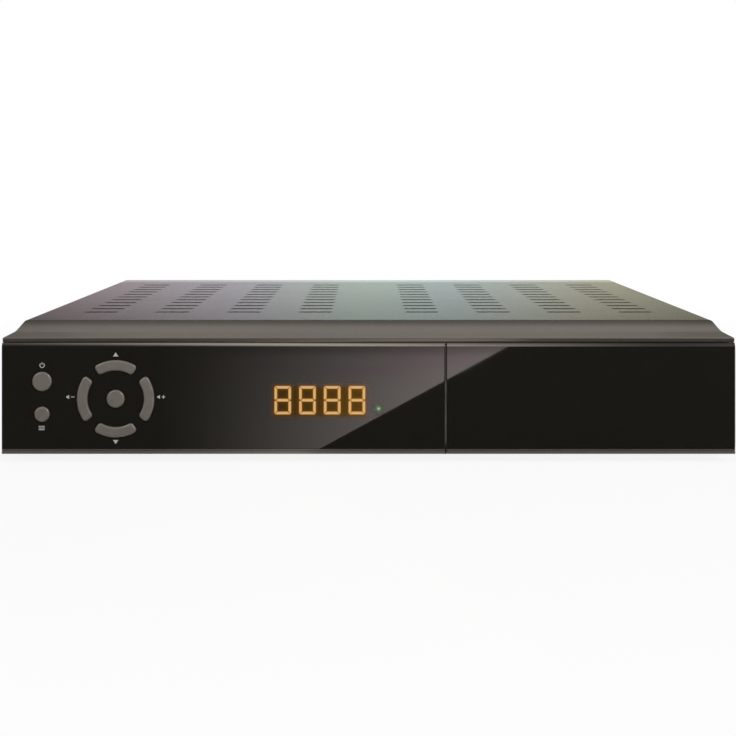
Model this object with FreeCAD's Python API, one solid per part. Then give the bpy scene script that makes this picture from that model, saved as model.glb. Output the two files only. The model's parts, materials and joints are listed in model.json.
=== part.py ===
import FreeCAD, Part
import math
import os
from FreeCAD import Vector

# Satellite TV receiver. Millimetres, +X to the viewer's right, +Y to the back, +Z up.
# The origin is the middle of the footprint, on the surface that the feet stand on.

# Case
case_width = 340.0
case_depth = 230.0
foot_height = 4.0
foot_radius = 8.0
foot_peg_radius = 2.5
foot_inset_x = 30.0
foot_inset_y = 32.0

# Front panel and the ogee edge of the cover
panel_height = 51.4
panel_groove = 0.25
panel_chamfer = 1.6
panel_chamfer_depth = 0.7
strip_height = 2.5
strip_groove = 0.4
strip_groove_rise = 1.3
lip_height = 2.05
lip_setback = 0.3
lip_radius = 0.5
knee_rise = 2.5
knee_setback = 4.95
knee_radius = 3.0
crown_rise = 4.8
crown_setback = 8.5
crown_radius = 1.5

# Sheet metal
cover_sheet = 1.2
cover_side_setback = 1.0
cover_foot_rise = 1.0
cover_rear_flange = 10.0
pan_sheet = 1.0
pan_side_flange = 12.0
pan_end_flange = 8.0
fold_radius = 1.0
rear_sheet = 1.0

# Vent slots in the cover
vent_groups_per_side = 4
vent_rows = 11
vent_length = 17.1
vent_width = 3.6
vent_middle_gap = 53.2
vent_group_pitch = 35.7
vent_row_pitch = 15.0
vent_first_row = 33.4

# Plastic front
plastic_wall = 2.0
bezel_depth = 16.0
bezel_tongue = 2.4
window_thickness = 2.5
window_border = 0.8
partition_wall = 3.0
seam_gap = 1.0
boss_radius = 3.0

# Clearances
play = 0.3
fit_gap = 0.1
running_gap = 0.05
tolerance = 0.01
shortest_edge = 1e-6

# Flap and its hinge
flap_thickness = 2.5
hinge_rise = 5.0
hinge_pin_radius = 0.8
hinge_knuckle_radius = 1.8
hinge_knuckle_length = 8.0
hinge_overlap = 0.4
magnet_width = 12.0
magnet_height = 3.0
magnet_depth = 5.0
strike_thickness = 0.6

# Cards and the bay behind the flap
ci_card_width = 54.0
ci_card_thickness = 5.0
ci_slot_depth = 85.0
ci_slot_pitch = 11.0
ci_floor = 2.6
ci_roof = 2.0
cage_wall = 3.0
cage_end_wall = 3.0
smart_card_width = 54.0
smart_slot_height = 1.2
reader_wall = 1.8
reader_height = 5.5
reader_depth = 50.0
reader_slot_depth = 46.0
card_play = 0.2
bay_margin = 3.4
bay_shelf = 6.0
eject_space = 6.0
eject_travel = 6.0
eject_cap_width = 4.0
eject_cap_height = 7.0
eject_stem_width = 1.6
eject_stem_height = 2.6
eject_stem_length = 62.0
eject_guide_width = 4.0

# Buttons
button_proud = 0.8
button_rim = 0.4
button_round = 0.7
button_gap = 0.3
button_travel = 0.6
button_flange = 1.0
button_flange_thickness = 1.0
stem_radius = 1.6
standby_radius = 4.5
standby_inset = 18.7
standby_above_ring = 8.05
menu_radius = 3.52
menu_below_ring = 7.15
ok_radius = 4.15
ring_inset = 52.8
ring_drop = 0.15
ring_outer = 17.95
ring_inner = 13.1
ring_half_angle = 34.5
ring_side_half_angle = 37.4
ring_corner = 1.6
guide_thickness = 1.5
guide_margin = 5.0
guide_reach = 29.0
guide_corner = 2.0

# Switches and the front board
switch_side = 6.0
switch_height = 3.5
switch_bore_depth = 1.6
board_thickness = 1.6
front_board_inset = 3.0
front_screw_inset = 8.0
front_screw_rise = 12.0
front_screw_drop = 7.0
board_edge_gap = 3.0

# Display, status light and infrared receiver, from the seam
display_inset = 58.5
display_width = 50.0
display_height = 19.0
display_drop = 1.35
digit_count = 4
digit_pitch = 11.52
digit_width = 8.25
digit_height = 13.9
segment_width = 1.6
segment_gap = 0.3
segment_thickness = 0.3
led_inset = 31.2
led_drop = 3.9
led_radius = 1.0
led_base_radius = 1.5
infrared_inset = 16.0
infrared_width = 6.0
infrared_height = 7.0
infrared_depth = 4.0
infrared_lens_radius = 2.2

# Boards and what carries them
standoff_height = 6.0
standoff_radius = 3.0
main_board_margin = 8.5
main_board_side_gap = 4.0
main_board_front_gap = 4.0
board_rear_gap = 2.0
power_board_width = 76.0
power_board_depth = 108.0
power_board_side_gap = 8.0
card_board_depth = 62.0
card_board_setback = 2.0
card_spacer_height = 16.0
card_spacer_radius = 2.5
board_screw_inset = 5.0

# Fasteners
screw_radius = 1.5
screw_head_radius = 2.8
screw_head_height = 0.9
screw_length = 5.0
screw_socket_radius = 1.2
screw_socket_depth = 0.54
tapping_radius = 1.2
tapping_head_radius = 2.4
tapping_head_height = 1.5
tapping_grip = 3.0
tapping_slot_width = 0.8
tapping_slot_depth = 0.6
side_screw_rise = 8.0
side_screw_inset = 40.0
rear_screw_pitch = 140.0
rear_screw_drop = 5.5
bezel_screw_rise = 4.0
pan_screw_rise = 5.0
boss_width = 8.0
boss_depth = 3.7

# Rear connectors
connector_reach = 9.5
aerial_radius = 4.76
aerial_neck_radius = 4.2
aerial_bore = 0.7
aerial_spacing = 26.0
aerial_rise = 10.0
aerial_hole_gap = 0.6
tuner_width = 52.0
tuner_depth = 44.0
tuner_height = 20.0
tuner_inset = 9.0
phono_radius = 4.15
phono_shell = 0.8
phono_neck_wall = 0.4
phono_contact_radius = 1.6
phono_reach = 9.0
phono_pitch = 14.0
phono_count = 4
phono_rise = 10.0
phono_block_depth = 12.0
phono_block_height = 20.0
phono_gap = 3.0
scart_width = 56.0
scart_height = 17.0
scart_depth = 24.0
scart_plug_width = 48.0
scart_plug_height = 13.0
scart_corner = 6.0
scart_corner_rise = 3.6
scart_rounding = 0.5
scart_shell_gap = 1.7
scart_slot_depth = 12.0
scart_gap = 4.0
hdmi_width = 15.0
hdmi_height = 6.0
hdmi_depth = 12.0
hdmi_wall = 0.5
hdmi_tongue = 1.4
hdmi_back_wall = 2.0
hdmi_tongue_setback = 1.0
hdmi_gap = 4.0
serial_rise = 30.0
serial_plate_width = 31.0
serial_plate_height = 12.5
serial_plate_depth = 8.0
serial_shell_width = 17.0
serial_shell_height = 8.4
serial_shell_slant = 1.5
serial_hole_depth = 7.0
serial_shell_reach = 5.8
serial_hole_radius = 0.55
serial_hole_pitch = 2.77
serial_row_pitch = 2.84
serial_rows = {0.5: 5, -0.5: 4}

# Mains side
inlet_inset = 32.0
inlet_rise = 26.0
inlet_width = 30.0
inlet_height = 20.0
inlet_depth = 18.0
inlet_flange = 1.5
inlet_lip = 2.0
inlet_hole_width = 20.0
inlet_hole_height = 9.0
inlet_hole_depth = 13.0
inlet_pin_radius = 1.2
inlet_pin_spacing = 8.6
inlet_pin_length = 10.0
inlet_tab_width = 4.0
inlet_tab_thickness = 0.8
inlet_tab_length = 6.0
switch_inset = 66.0
rocker_body_width = 21.0
rocker_body_height = 15.0
rocker_body_depth = 16.0
rocker_width = 16.0
rocker_height = 10.6
rocker_depth = 5.0
rocker_swing = 20.0
rocker_axle_radius = 1.0
rocker_axle_setback = 3.0
rocker_room = 7.5
rocker_axle_bearing = 1.0
rocker_corner = 0.4
wire_radius = 1.2
wire_bend = 6.0
wire_lead = 1.0

# Components on the boards
processor_side = 27.0
processor_height = 2.2
processor_setback = 92.0
processor_inset = 150.0
sink_side = 36.0
sink_base = 3.0
sink_height = 16.0
sink_fins = 9
sink_fin_thickness = 1.4
memory_length = 18.4
memory_width = 10.0
memory_height = 1.2
memory_count = 4
memory_pitch = 14.0
memory_setback = 62.0
capacitor_radius = 4.0
capacitor_height = 11.0
capacitor_count = 4
capacitor_pitch = 12.0
transformer_width = 28.0
transformer_depth = 24.0
transformer_height = 24.0
transformer_core = 8.0
transformer_foot = 3.0
transformer_head = 2.0
transformer_head_drop = 3.0
transformer_head_inset = 3.0
transformer_inset = 42.0
transformer_setback = 34.0
mains_capacitor_radius = 9.0
mains_capacitor_height = 31.0
mains_capacitor_inset = 15.0
power_row_setback = 48.0
power_sink_width = 44.0
power_sink_depth = 12.0
power_sink_height = 28.0
power_sink_wall = 2.0
fuse_radius = 2.6
fuse_length = 20.0
fuse_cap_radius = 3.0
fuse_cap_length = 5.0
fuse_leg = 2.0
fuse_inset = 15.0
fuse_setback = 16.0
output_capacitor_radius = 5.0
output_capacitor_height = 16.0
output_capacitor_pitch = 13.0
output_capacitor_count = 3
ribbon_thickness = 0.8
ribbon_width = 22.0
ribbon_plug = 6.0
ribbon_bend = 3.0
ribbon_arch = 9.0
ribbon_inset = 12.0
harness_width = 14.0

# Places worked out from the sizes above
left = -case_width / 2
right = case_width / 2
front = -(case_depth + connector_reach - button_proud) / 2
back = front + case_depth
under = foot_height
pan_top = under + pan_sheet
panel_top = under + panel_height
lip_foot = panel_top + panel_groove
lip_top = lip_foot + lip_height
knee_z = lip_top + knee_rise
top = knee_z + crown_rise
rear_face = back - cover_sheet
rear_inner = rear_face - rear_sheet
barrel_start = rear_face + play
bezel_back = front + bezel_depth
inside_front = bezel_back + pan_sheet
cover_inner = case_width / 2 - cover_side_setback - cover_sheet
pan_side = cover_inner - play
board_z = pan_top + standoff_height
board_top = board_z + board_thickness

window_back = front + window_thickness
wall_back = window_back + plastic_wall
flange_front = wall_back + play
guide_front = flange_front + button_flange_thickness + button_travel + play
guide_back = guide_front + guide_thickness
switch_front = guide_back + play
front_board_y = switch_front + switch_height
front_board_back = front_board_y + board_thickness

ci_opening = ci_card_width + 2 * card_play
cage_width = ci_opening + 2 * cage_wall
reader_opening = smart_card_width + 2 * card_play
reader_width = reader_opening + 2 * reader_wall
bay_width = 2 * bay_margin + cage_width + eject_space + reader_width
bay_right = right - plastic_wall
bay_left = bay_right - bay_width
flap_left = bay_left - hinge_overlap
window_right = flap_left - seam_gap
seam = flap_left - seam_gap / 2
partition_left = bay_left - partition_wall

hinge_y = front + flap_thickness + play + hinge_knuckle_radius
hinge_z = under + hinge_rise
sweep_radius = math.hypot(hinge_y - front, hinge_rise) + play
bay_floor = hinge_z + hinge_knuckle_radius + play
bay_back = bezel_back - plastic_wall

cage_left = bay_left + bay_margin
cage_right = cage_left + cage_width
cage_front = inside_front + play
cage_back = cage_front + ci_slot_depth + cage_end_wall
ci_slot_height = ci_card_thickness + 2 * card_play
cage_height = ci_floor + ci_slot_pitch + ci_slot_height + ci_roof
reader_left = cage_right + eject_space
reader_right = reader_left + reader_width
reader_front = bezel_back + play
eject_x = cage_right + eject_space / 2
eject_cap_front = front + flap_thickness + strike_thickness + 2 * play
eject_cap_back = bay_back - eject_travel - play
strike_front = front + flap_thickness
magnet_x = (cage_left + reader_right) / 2
magnet_front = strike_front + strike_thickness + play
magnet_bottom = panel_top - plastic_wall - magnet_height
magnet_top = magnet_bottom + magnet_height + plastic_wall / 2
card_board_z = board_top + card_spacer_height
card_board_front = reader_front + card_board_setback

panel_middle = (under + panel_top) / 2
standby_x = left + standby_inset
ring_x = left + ring_inset
ring_z = panel_middle - ring_drop
standby_z = ring_z + standby_above_ring
menu_z = ring_z - menu_below_ring
display_x = seam - display_inset
display_z = panel_middle - display_drop
led_x = seam - led_inset
led_z = display_z - led_drop
infrared_x = seam - infrared_inset
infrared_z = panel_middle
segment_front = window_back + fit_gap
display_front = segment_front + segment_thickness
guide_left = left + guide_margin
guide_right = ring_x + guide_reach
front_screw_low = under + front_screw_rise
front_screw_high = panel_top - front_screw_drop
guide_screws_x = (left + front_screw_inset, guide_right - guide_margin)
boss_top = under + bezel_screw_rise + hinge_knuckle_radius
seam_screw_x = partition_left - front_screw_inset

main_board_right = pan_side - pan_sheet - main_board_side_gap
tuner_right = main_board_right - tuner_inset
main_board_front = inside_front + main_board_front_gap
main_board_back = rear_inner - board_rear_gap
power_board_left = -pan_side + pan_sheet + power_board_side_gap
power_board_right = power_board_left + power_board_width
power_board_back = main_board_back - inlet_depth
power_board_front = power_board_back - power_board_depth

tuner_left = tuner_right - tuner_width
phono_right = tuner_left - phono_gap
phono_left = phono_right - phono_count * phono_pitch
scart_right = phono_left - scart_gap
scart_left = scart_right - scart_width
hdmi_right = scart_left - hdmi_gap
hdmi_left = hdmi_right - hdmi_width
serial_x = scart_left - hdmi_gap - serial_plate_width / 2
main_board_left = hdmi_left - main_board_margin
inlet_x = left + inlet_inset
inlet_z = under + inlet_rise
rocker_x = left + switch_inset
rocker_y = rear_face - rocker_axle_setback

side_screw_z = under + side_screw_rise
rear_screw_z = top - rear_screw_drop
pan_screw_z = under + pan_screw_rise
bezel_screw_z = under + bezel_screw_rise
bay_boss_z = panel_top - plastic_wall - boss_width / 2
serial_z = under + serial_rise


def block(x, y, z):
    """Box between the low and high value of each axis."""
    size = (x[1] - x[0], y[1] - y[0], z[1] - z[0])
    return Part.makeBox(*size, Vector(x[0], y[0], z[0]))


def around(middle, size, grow=0):
    """Low and high value of a size around its middle, grown at both ends."""
    half = size / 2 + grow
    return (middle - half, middle + half)


def rod(radius, x, y, z):
    """Cylinder along the one axis whose value is a (low, high) pair."""
    spans = [value if isinstance(value, tuple) else (value, value) for value in (x, y, z)]
    low = Vector(*(span[0] for span in spans))
    high = Vector(*(span[1] for span in spans))
    return Part.makeCylinder(radius, (high - low).Length, low, high - low)


def joined(pieces):
    """One solid out of pieces that touch or overlap."""
    return pieces[0].multiFuse(pieces[1:]).removeSplitter()


def without(piece, tools):
    return piece.cut(tuple(tools)).removeSplitter()


def in_xy(z):
    return lambda u, v: Vector(u, v, z)


def in_xz(y):
    return lambda u, v: Vector(u, y, v)


def in_yz(x):
    return lambda u, v: Vector(x, u, v)


def rounded_face(points, radii, place):
    """Face through the points, with the corner at each point rounded by its radius."""
    corners = [Vector(u, v, 0) for u, v in points]
    bends = []
    for index, radius in enumerate(radii):
        corner = corners[index]
        behind = (corners[index - 1] - corner).normalize()
        ahead = (corners[(index + 1) % len(corners)] - corner).normalize()
        half = math.acos(max(-1.0, min(1.0, behind.dot(ahead)))) / 2
        reach = radius / math.tan(half)
        inward = (behind + ahead) * radius
        if radius:
            inward.normalize()
        middle = corner + inward * (radius / math.sin(half) - radius)
        bends.append((corner + behind * reach, middle, corner + ahead * reach))
    edges = []
    for index, (start, middle, end) in enumerate(bends):
        if radii[index]:
            arc = [place(point.x, point.y) for point in (start, middle, end)]
            edges.append(Part.Arc(*arc).toShape())
        following = bends[(index + 1) % len(bends)][0]
        if (following - end).Length > shortest_edge:
            line = (place(end.x, end.y), place(following.x, following.y))
            edges.append(Part.LineSegment(*line).toShape())
    return Part.Face(Part.Wire(edges))


def rectangle(u, v):
    return [(u[0], v[0]), (u[1], v[0]), (u[1], v[1]), (u[0], v[1])]


def plate(points, radius, place, along):
    """Prism over an outline whose corners all have one radius."""
    return rounded_face(points, [radius] * len(points), place).extrude(along)


def inset_outline(points, distance):
    """Outline moved inwards, each side parallel to itself. The points run clockwise."""
    moved = []
    for index, (u, v) in enumerate(points):
        sides = []
        for start, end in ((points[index - 1], (u, v)), ((u, v), points[(index + 1) % len(points)])):
            length = math.hypot(end[0] - start[0], end[1] - start[1])
            along = ((end[0] - start[0]) / length, (end[1] - start[1]) / length)
            sides.append((start[0] + along[1] * distance, start[1] - along[0] * distance, along))
        (u1, v1, (a1, b1)), (u2, v2, (a2, b2)) = sides
        turn = a1 * b2 - b1 * a2
        step = ((u2 - u1) * b2 - (v2 - v1) * a2) / turn
        moved.append((u1 + a1 * step, v1 + b1 * step))
    return moved


def save(name, *pieces):
    """Writes one sub-part, as a single solid or as a group of separate ones."""
    solids = [solid for piece in pieces for solid in piece.Solids]
    shape = solids[0] if len(solids) == 1 else Part.makeCompound(solids)
    shape.exportStep(os.path.join("parts", name + ".step"))


def section_sides(foot):
    """Outer section of the case across its width, with the lip left out."""
    half = case_width / 2
    slope = knee_rise / (knee_setback - lip_setback)
    lip_line = lip_top + slope * (cover_side_setback - lip_setback)
    ogee = [(cover_side_setback, foot), (cover_side_setback, lip_line),
            (knee_setback, knee_z), (crown_setback, top)]
    return [(s - half, z) for s, z in ogee] + [(half - s, z) for s, z in reversed(ogee)]


def inner_section(distance, foot):
    """Section of what fits inside the cover, at a distance from its outer face."""
    points = inset_outline(section_sides(foot - distance), distance)
    knee = knee_radius + distance
    return points, [0, 0, knee, 0, 0, knee, 0, 0]


def cover_outer():
    """Outer body of the cover: ogee edges at the front and both sides, mitred together."""
    half = case_width / 2
    foot = under + cover_foot_rise
    ogee = [(cover_side_setback, foot), (cover_side_setback, lip_foot), (lip_setback, lip_foot),
            (lip_setback, lip_top), (knee_setback, knee_z), (crown_setback, top)]
    radii = [0, 0, lip_radius, lip_radius, knee_radius, crown_radius]
    across = [(s - half, z) for s, z in ogee] + [(half - s, z) for s, z in reversed(ogee)]
    wide = rounded_face(across, radii + radii[::-1], in_xz(front)).extrude(Vector(0, case_depth, 0))
    behind = bezel_back + play
    along = [(behind, foot), (behind, lip_foot), (front + lip_setback, lip_foot)]
    along += [(front + s, z) for s, z in ogee[3:]] + [(back, top), (back, foot)]
    bends = [0, 0, lip_radius, lip_radius, knee_radius, crown_radius, fold_radius, 0]
    deep = rounded_face(along, bends, in_yz(left)).extrude(Vector(case_width, 0, 0))
    return wide.common(deep)


def cover_hollow():
    """Room inside the cover, one sheet thickness within its outer faces."""
    points, radii = inner_section(cover_sheet, under)
    wide = rounded_face(points, radii, in_xz(front)).extrude(Vector(0, case_depth, 0))
    slope = knee_rise / (knee_setback - lip_setback)
    lip_line = lip_top + slope * (cover_side_setback - lip_setback)
    ogee = [(front + s, z) for s, z in ((cover_side_setback, lip_line), (knee_setback, knee_z),
                                        (crown_setback, top))]
    low = (front + cover_side_setback, under - cover_sheet)
    along = inset_outline([low] + ogee + [(back + cover_sheet, top), (back + cover_sheet, low[1])],
                          cover_sheet)
    knee = knee_radius + cover_sheet
    deep = rounded_face(along, [0, 0, knee, 0, 0, 0], in_yz(left)).extrude(Vector(case_width, 0, 0))
    return wide.common(deep)


def vent_slots():
    """Rows of round-ended slots, in groups on both sides of the middle."""
    slots = []
    for side in (-1, 1):
        for group in range(vent_groups_per_side):
            x = side * (vent_middle_gap / 2 + group * vent_group_pitch)
            for row in range(vent_rows):
                y = front + vent_first_row + crown_setback + row * vent_row_pitch
                spans = rectangle(around(x, vent_length), around(y, vent_width))
                slots.append(plate(spans, vent_width / 2 - tolerance, in_xy(top - 2 * cover_sheet),
                                   Vector(0, 0, 3 * cover_sheet)))
    return slots


def side_screw_places():
    return [(side, y) for side in (-1, 1)
            for y in (bezel_back + side_screw_inset, back - side_screw_inset)]


def rear_screw_places():
    return [-rear_screw_pitch, 0.0, rear_screw_pitch]


def top_cover():
    shell = cover_outer().cut(cover_hollow())
    flange = cover_outer().common(block((left, right), (rear_face, back),
                                        (top - cover_rear_flange, top)))
    holes = [rod(screw_radius + fit_gap, x, (rear_face - play, back + play), rear_screw_z)
             for x in rear_screw_places()]
    for side, y in side_screw_places():
        x = sorted((side * (cover_inner - play), side * case_width / 2))
        holes.append(rod(screw_radius + fit_gap, tuple(x), y, side_screw_z))
    return without(joined([shell, flange]), holes + vent_slots())


def case_screw(origin, direction):
    """Low-headed machine screw. The origin lies under its head, the direction points inwards."""
    shank = Part.makeCylinder(screw_radius, screw_length, origin, direction)
    head = Part.makeCylinder(screw_head_radius, screw_head_height, origin, direction * -1)
    socket = Part.makeCylinder(screw_socket_radius, screw_socket_depth,
                               origin - direction * screw_head_height, direction)
    return shank.fuse(head).cut(socket).removeSplitter()


def foot_places():
    return [(side * (case_width / 2 - foot_inset_x), y) for side in (-1, 1)
            for y in (front + foot_inset_y, back - foot_inset_y)]


def standoff_places(x, y):
    inset = board_screw_inset
    return [(u, v) for u in (x[0] + inset, x[1] - inset) for v in (y[0] + inset, y[1] - inset)]


def board_screw_places():
    main = standoff_places((main_board_left, main_board_right), (main_board_front, main_board_back))
    power = standoff_places((power_board_left, power_board_right),
                            (power_board_front, power_board_back))
    return main + power


def bezel_screw_places():
    return [left + boss_width, ring_x + guide_reach + boss_width, partition_left - 2 * boss_width,
            bay_right - boss_width / 2]


def chassis_pan():
    """Steel tray with an upright flange on each side."""
    side = pan_side
    floor = block((-side, side), (bezel_back, rear_inner), (under, pan_top))
    walls = [block((-side, -side + pan_sheet), (bezel_back, rear_inner), (under, under + pan_side_flange)),
             block((side - pan_sheet, side), (bezel_back, rear_inner), (under, under + pan_side_flange)),
             block((-side, side), (bezel_back, inside_front), (under, pan_top + pan_end_flange)),
             block((-side, side), (rear_inner - pan_sheet, rear_inner),
                   (under, under + pan_end_flange))]
    holes = [rod(foot_peg_radius, x, y, (0, pan_top + play)) for x, y in foot_places()]
    holes += [rod(screw_radius, x, y, (0, pan_top + play)) for x, y in board_screw_places()]
    holes += [rod(tapping_radius + fit_gap, x, (bezel_back - play, inside_front + play), bezel_screw_z)
              for x in bezel_screw_places()]
    holes += [rod(screw_radius, tuple(sorted((s * (side + play), s * (side - 2 * pan_sheet)))), y,
                  side_screw_z) for s, y in side_screw_places()]
    holes += [rod(screw_radius, x, (rear_inner - 2 * pan_sheet, rear_inner + play), pan_screw_z)
              for x in rear_screw_places()]
    return without(joined([floor] + walls), holes)


def rubber_feet():
    """Round feet, each with a peg up through the tray."""
    feet = []
    for x, y in foot_places():
        pad = rod(foot_radius, x, y, (0, foot_height))
        pad = pad.makeChamfer(play, [pad.Edges[0], pad.Edges[2]])
        feet.append(pad.fuse(rod(foot_peg_radius, x, y, (foot_height, pan_top + play))).removeSplitter())
    return feet


def scart_prism(shrink, x, z, y, plug=False):
    """Prism of a multi-way socket or of its plug's room, with one cut corner."""
    width, height = (scart_plug_width, scart_plug_height) if plug else (scart_width, scart_height)
    u, v = width / 2 - shrink, height / 2 - shrink
    points = [(x - u, z - v), (x + u - scart_corner, z - v), (x + u, z - v + scart_corner_rise),
              (x + u, z + v), (x - u, z + v)]
    return plate(points, scart_rounding, in_xz(y[0]), Vector(0, y[1] - y[0], 0))


def scart_centres():
    x = (scart_left + scart_right) / 2
    return [(x, board_top + scart_height * (0.5 + level)) for level in (0, 1)]


def aerial_places():
    x = (tuner_left + tuner_right) / 2
    return [(x - aerial_spacing / 2, board_top + aerial_rise),
            (x + aerial_spacing / 2, board_top + aerial_rise)]


def phono_places():
    return [(phono_left + phono_pitch * (index + 0.5), board_top + phono_rise)
            for index in range(phono_count)]


def rear_panel():
    """Steel plate with an opening for each connector."""
    points, radii = inner_section(cover_sheet + play, under)
    points = [(u, max(v, under)) for u, v in points]
    sheet = rounded_face(points, radii, in_xz(rear_inner)).extrude(Vector(0, rear_sheet, 0))
    through = (rear_inner - play, rear_face + play)
    tools = [rod(aerial_radius + aerial_hole_gap, x, through, z) for x, z in aerial_places()]
    tools += [rod(phono_radius + aerial_hole_gap, x, through, z) for x, z in phono_places()]
    tools += [scart_prism(play, x, z, through) for x, z in scart_centres()]
    tools.append(block((hdmi_left - play, hdmi_right + play), through,
                       (board_top - play, board_top + hdmi_height + play)))
    tools.append(block(around(serial_x, serial_shell_width, play), through,
                       around(serial_z, serial_shell_height, play)))
    tools.append(block(around(inlet_x, inlet_width, fit_gap - inlet_lip), through,
                       around(inlet_z, inlet_height, fit_gap - inlet_lip)))
    tools.append(block(around(rocker_x, rocker_body_width, fit_gap), through,
                       around(inlet_z, rocker_body_height, fit_gap)))
    tools += [rod(screw_radius, x, through, z) for x in rear_screw_places()
              for z in (rear_screw_z, pan_screw_z)]
    return without(sheet, tools)


def arc_face(inner, outer, half_angle, facing, y):
    """Face of one arc of the button ring. Facing 0 is to the right, 90 is up."""
    def at(radius, angle):
        turn = math.radians(facing + angle)
        return Vector(ring_x + radius * math.cos(turn), y, ring_z + radius * math.sin(turn))
    edges = [Part.Arc(at(outer, -half_angle), at(outer, 0), at(outer, half_angle)).toShape(),
             Part.LineSegment(at(outer, half_angle), at(inner, half_angle)).toShape(),
             Part.Arc(at(inner, half_angle), at(inner, 0), at(inner, -half_angle)).toShape(),
             Part.LineSegment(at(inner, -half_angle), at(outer, -half_angle)).toShape()]
    return Part.Face(Part.Wire(edges))


def arc_prism(grow, facing, y):
    """One arc of the ring, grown on all sides, between two depths."""
    inner, outer = ring_inner - grow, ring_outer + grow
    half_angle = ring_side_half_angle if facing % 180 == 0 else ring_half_angle
    half_angle += math.degrees(grow / ((inner + outer) / 2))
    body = arc_face(inner, outer, half_angle, facing, y[0]).extrude(Vector(0, y[1] - y[0], 0))
    corners = [edge for edge in body.Edges if edge.BoundBox.YLength > y[1] - y[0] - tolerance]
    return body.makeFillet(ring_corner + grow, corners)


def button_shapes():
    """Each button's name, its outline as a function of growth and depths, and its stem's place."""
    middle = (ring_inner + ring_outer) / 2
    shapes = {
        "standby_button": (lambda grow, y: rod(standby_radius + grow, standby_x, y, standby_z),
                           (standby_x, standby_z)),
        "menu_button": (lambda grow, y: rod(menu_radius + grow, standby_x, y, menu_z),
                        (standby_x, menu_z)),
        "ok_button": (lambda grow, y: rod(ok_radius + grow, ring_x, y, ring_z), (ring_x, ring_z)),
    }
    arcs = {"volume_up_button": 0, "channel_up_button": 90, "volume_down_button": 180,
            "channel_down_button": 270}
    for name, facing in arcs.items():
        turn = math.radians(facing)
        place = (ring_x + middle * math.cos(turn), ring_z + middle * math.sin(turn))
        shapes[name] = (lambda grow, y, facing=facing: arc_prism(grow, facing, y), place)
    return shapes


def front_button(outline, place):
    """Cap through the window, a flange behind the wall and a stem into its switch."""
    cap = outline(0, (front - button_proud, flange_front))
    rim = [edge for edge in cap.Edges if edge.BoundBox.YMax < front - button_proud + tolerance]
    cap = cap.makeFillet(button_round, rim)
    flange = outline(button_flange, (flange_front, flange_front + button_flange_thickness))
    stem_end = switch_front + switch_bore_depth - button_travel - play
    stem = rod(stem_radius, place[0], (flange_front, stem_end), place[1])
    return joined([cap, flange, stem])


def front_screw_places():
    xs = guide_screws_x + (seam_screw_x,)
    return [(x, z) for x in xs for z in (front_screw_low, front_screw_high)]


def button_guide():
    """Plate that guides the button stems, with posts that space the front board."""
    sheet = plate(rectangle((guide_left, guide_right), (under + guide_margin - play,
                                                        panel_top - guide_margin + play)),
                  guide_corner, in_xz(guide_front), Vector(0, guide_thickness, 0))
    posts = [rod(boss_radius, x, (guide_back, front_board_y), z)
             for x, z in front_screw_places() if x in guide_screws_x]
    holes = [rod(tapping_radius + fit_gap, x, (guide_front - play, front_board_y + play), z)
             for x, z in front_screw_places()]
    holes += [rod(stem_radius + fit_gap, place[0], (guide_front - play, guide_back + play), place[1])
              for _, place in button_shapes().values()]
    return without(joined([sheet] + posts), holes)


def tact_switches():
    """Push switches on the front board, one behind each button."""
    switches = []
    for _, (x, z) in button_shapes().values():
        half = switch_side / 2
        body = block((x - half, x + half), (switch_front, front_board_y), (z - half, z + half))
        bore = rod(stem_radius + play, x, (switch_front - play, switch_front + switch_bore_depth), z)
        switches.append(body.cut(bore))
    return switches


def front_board():
    sheet = block((left + front_board_inset + plastic_wall, partition_left - front_board_inset),
                  (front_board_y, front_board_back),
                  (boss_top + play, panel_top - plastic_wall - board_edge_gap))
    return without(sheet, [rod(tapping_radius + fit_gap, x, (front_board_y - play,
                                                             front_board_back + play), z)
                           for x, z in front_screw_places()])


def tapping_screw(x, y, z, shank):
    """Screw along Y, with its head at the back and its shank towards the front."""
    head = rod(tapping_head_radius, x, (y, y + tapping_head_height), z)
    body = rod(tapping_radius, x, (y - shank, y), z)
    slot = block((x - tapping_head_radius, x + tapping_head_radius),
                 (y + tapping_head_height - tapping_slot_depth, y + 2 * tapping_head_height),
                 around(z, tapping_slot_width))
    return head.fuse(body).cut(slot).removeSplitter()


def bay_boss_places():
    return [cage_left + boss_width, reader_right - boss_width]


def plastic_screws():
    """Thread-forming screws of the front board, the bay frame and the bezel."""
    screws = []
    for x, z in front_screw_places():
        grip = guide_front if x in guide_screws_x else front_board_y
        depth = tapping_grip if x in guide_screws_x else 2 * tapping_grip
        length = front_board_back - grip + min(depth, grip - wall_back)
        screws.append(tapping_screw(x, front_board_back, z, length))
    screws += [tapping_screw(x, bezel_back, bay_boss_z, plastic_wall + tapping_grip)
               for x in bay_boss_places()]
    screws += [tapping_screw(x, inside_front, bezel_screw_z, pan_sheet + tapping_grip)
               for x in bezel_screw_places()]
    return screws


def bezel_shell():
    """Outer walls of the front, with its rooms, the flap's seat and the window's seat cut out."""
    wall = plastic_wall
    outer = block((left, right), (front, bezel_back), (under, panel_top))
    inside = (under + wall, panel_top - wall)
    flap_y = front + flap_thickness + play
    cuts = [block((left + wall, partition_left), (wall_back, bezel_back + play), inside),
            block((bay_left, bay_right), (front - play, bezel_back + play), inside),
            block((window_right, right + play), (front - play, flap_y), (under - play, panel_top + play)),
            block((left + window_border, window_right + play), (front - play, window_back),
                  (under + strip_height, panel_top - panel_chamfer))]
    return outer.cut(tuple(cuts))


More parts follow.
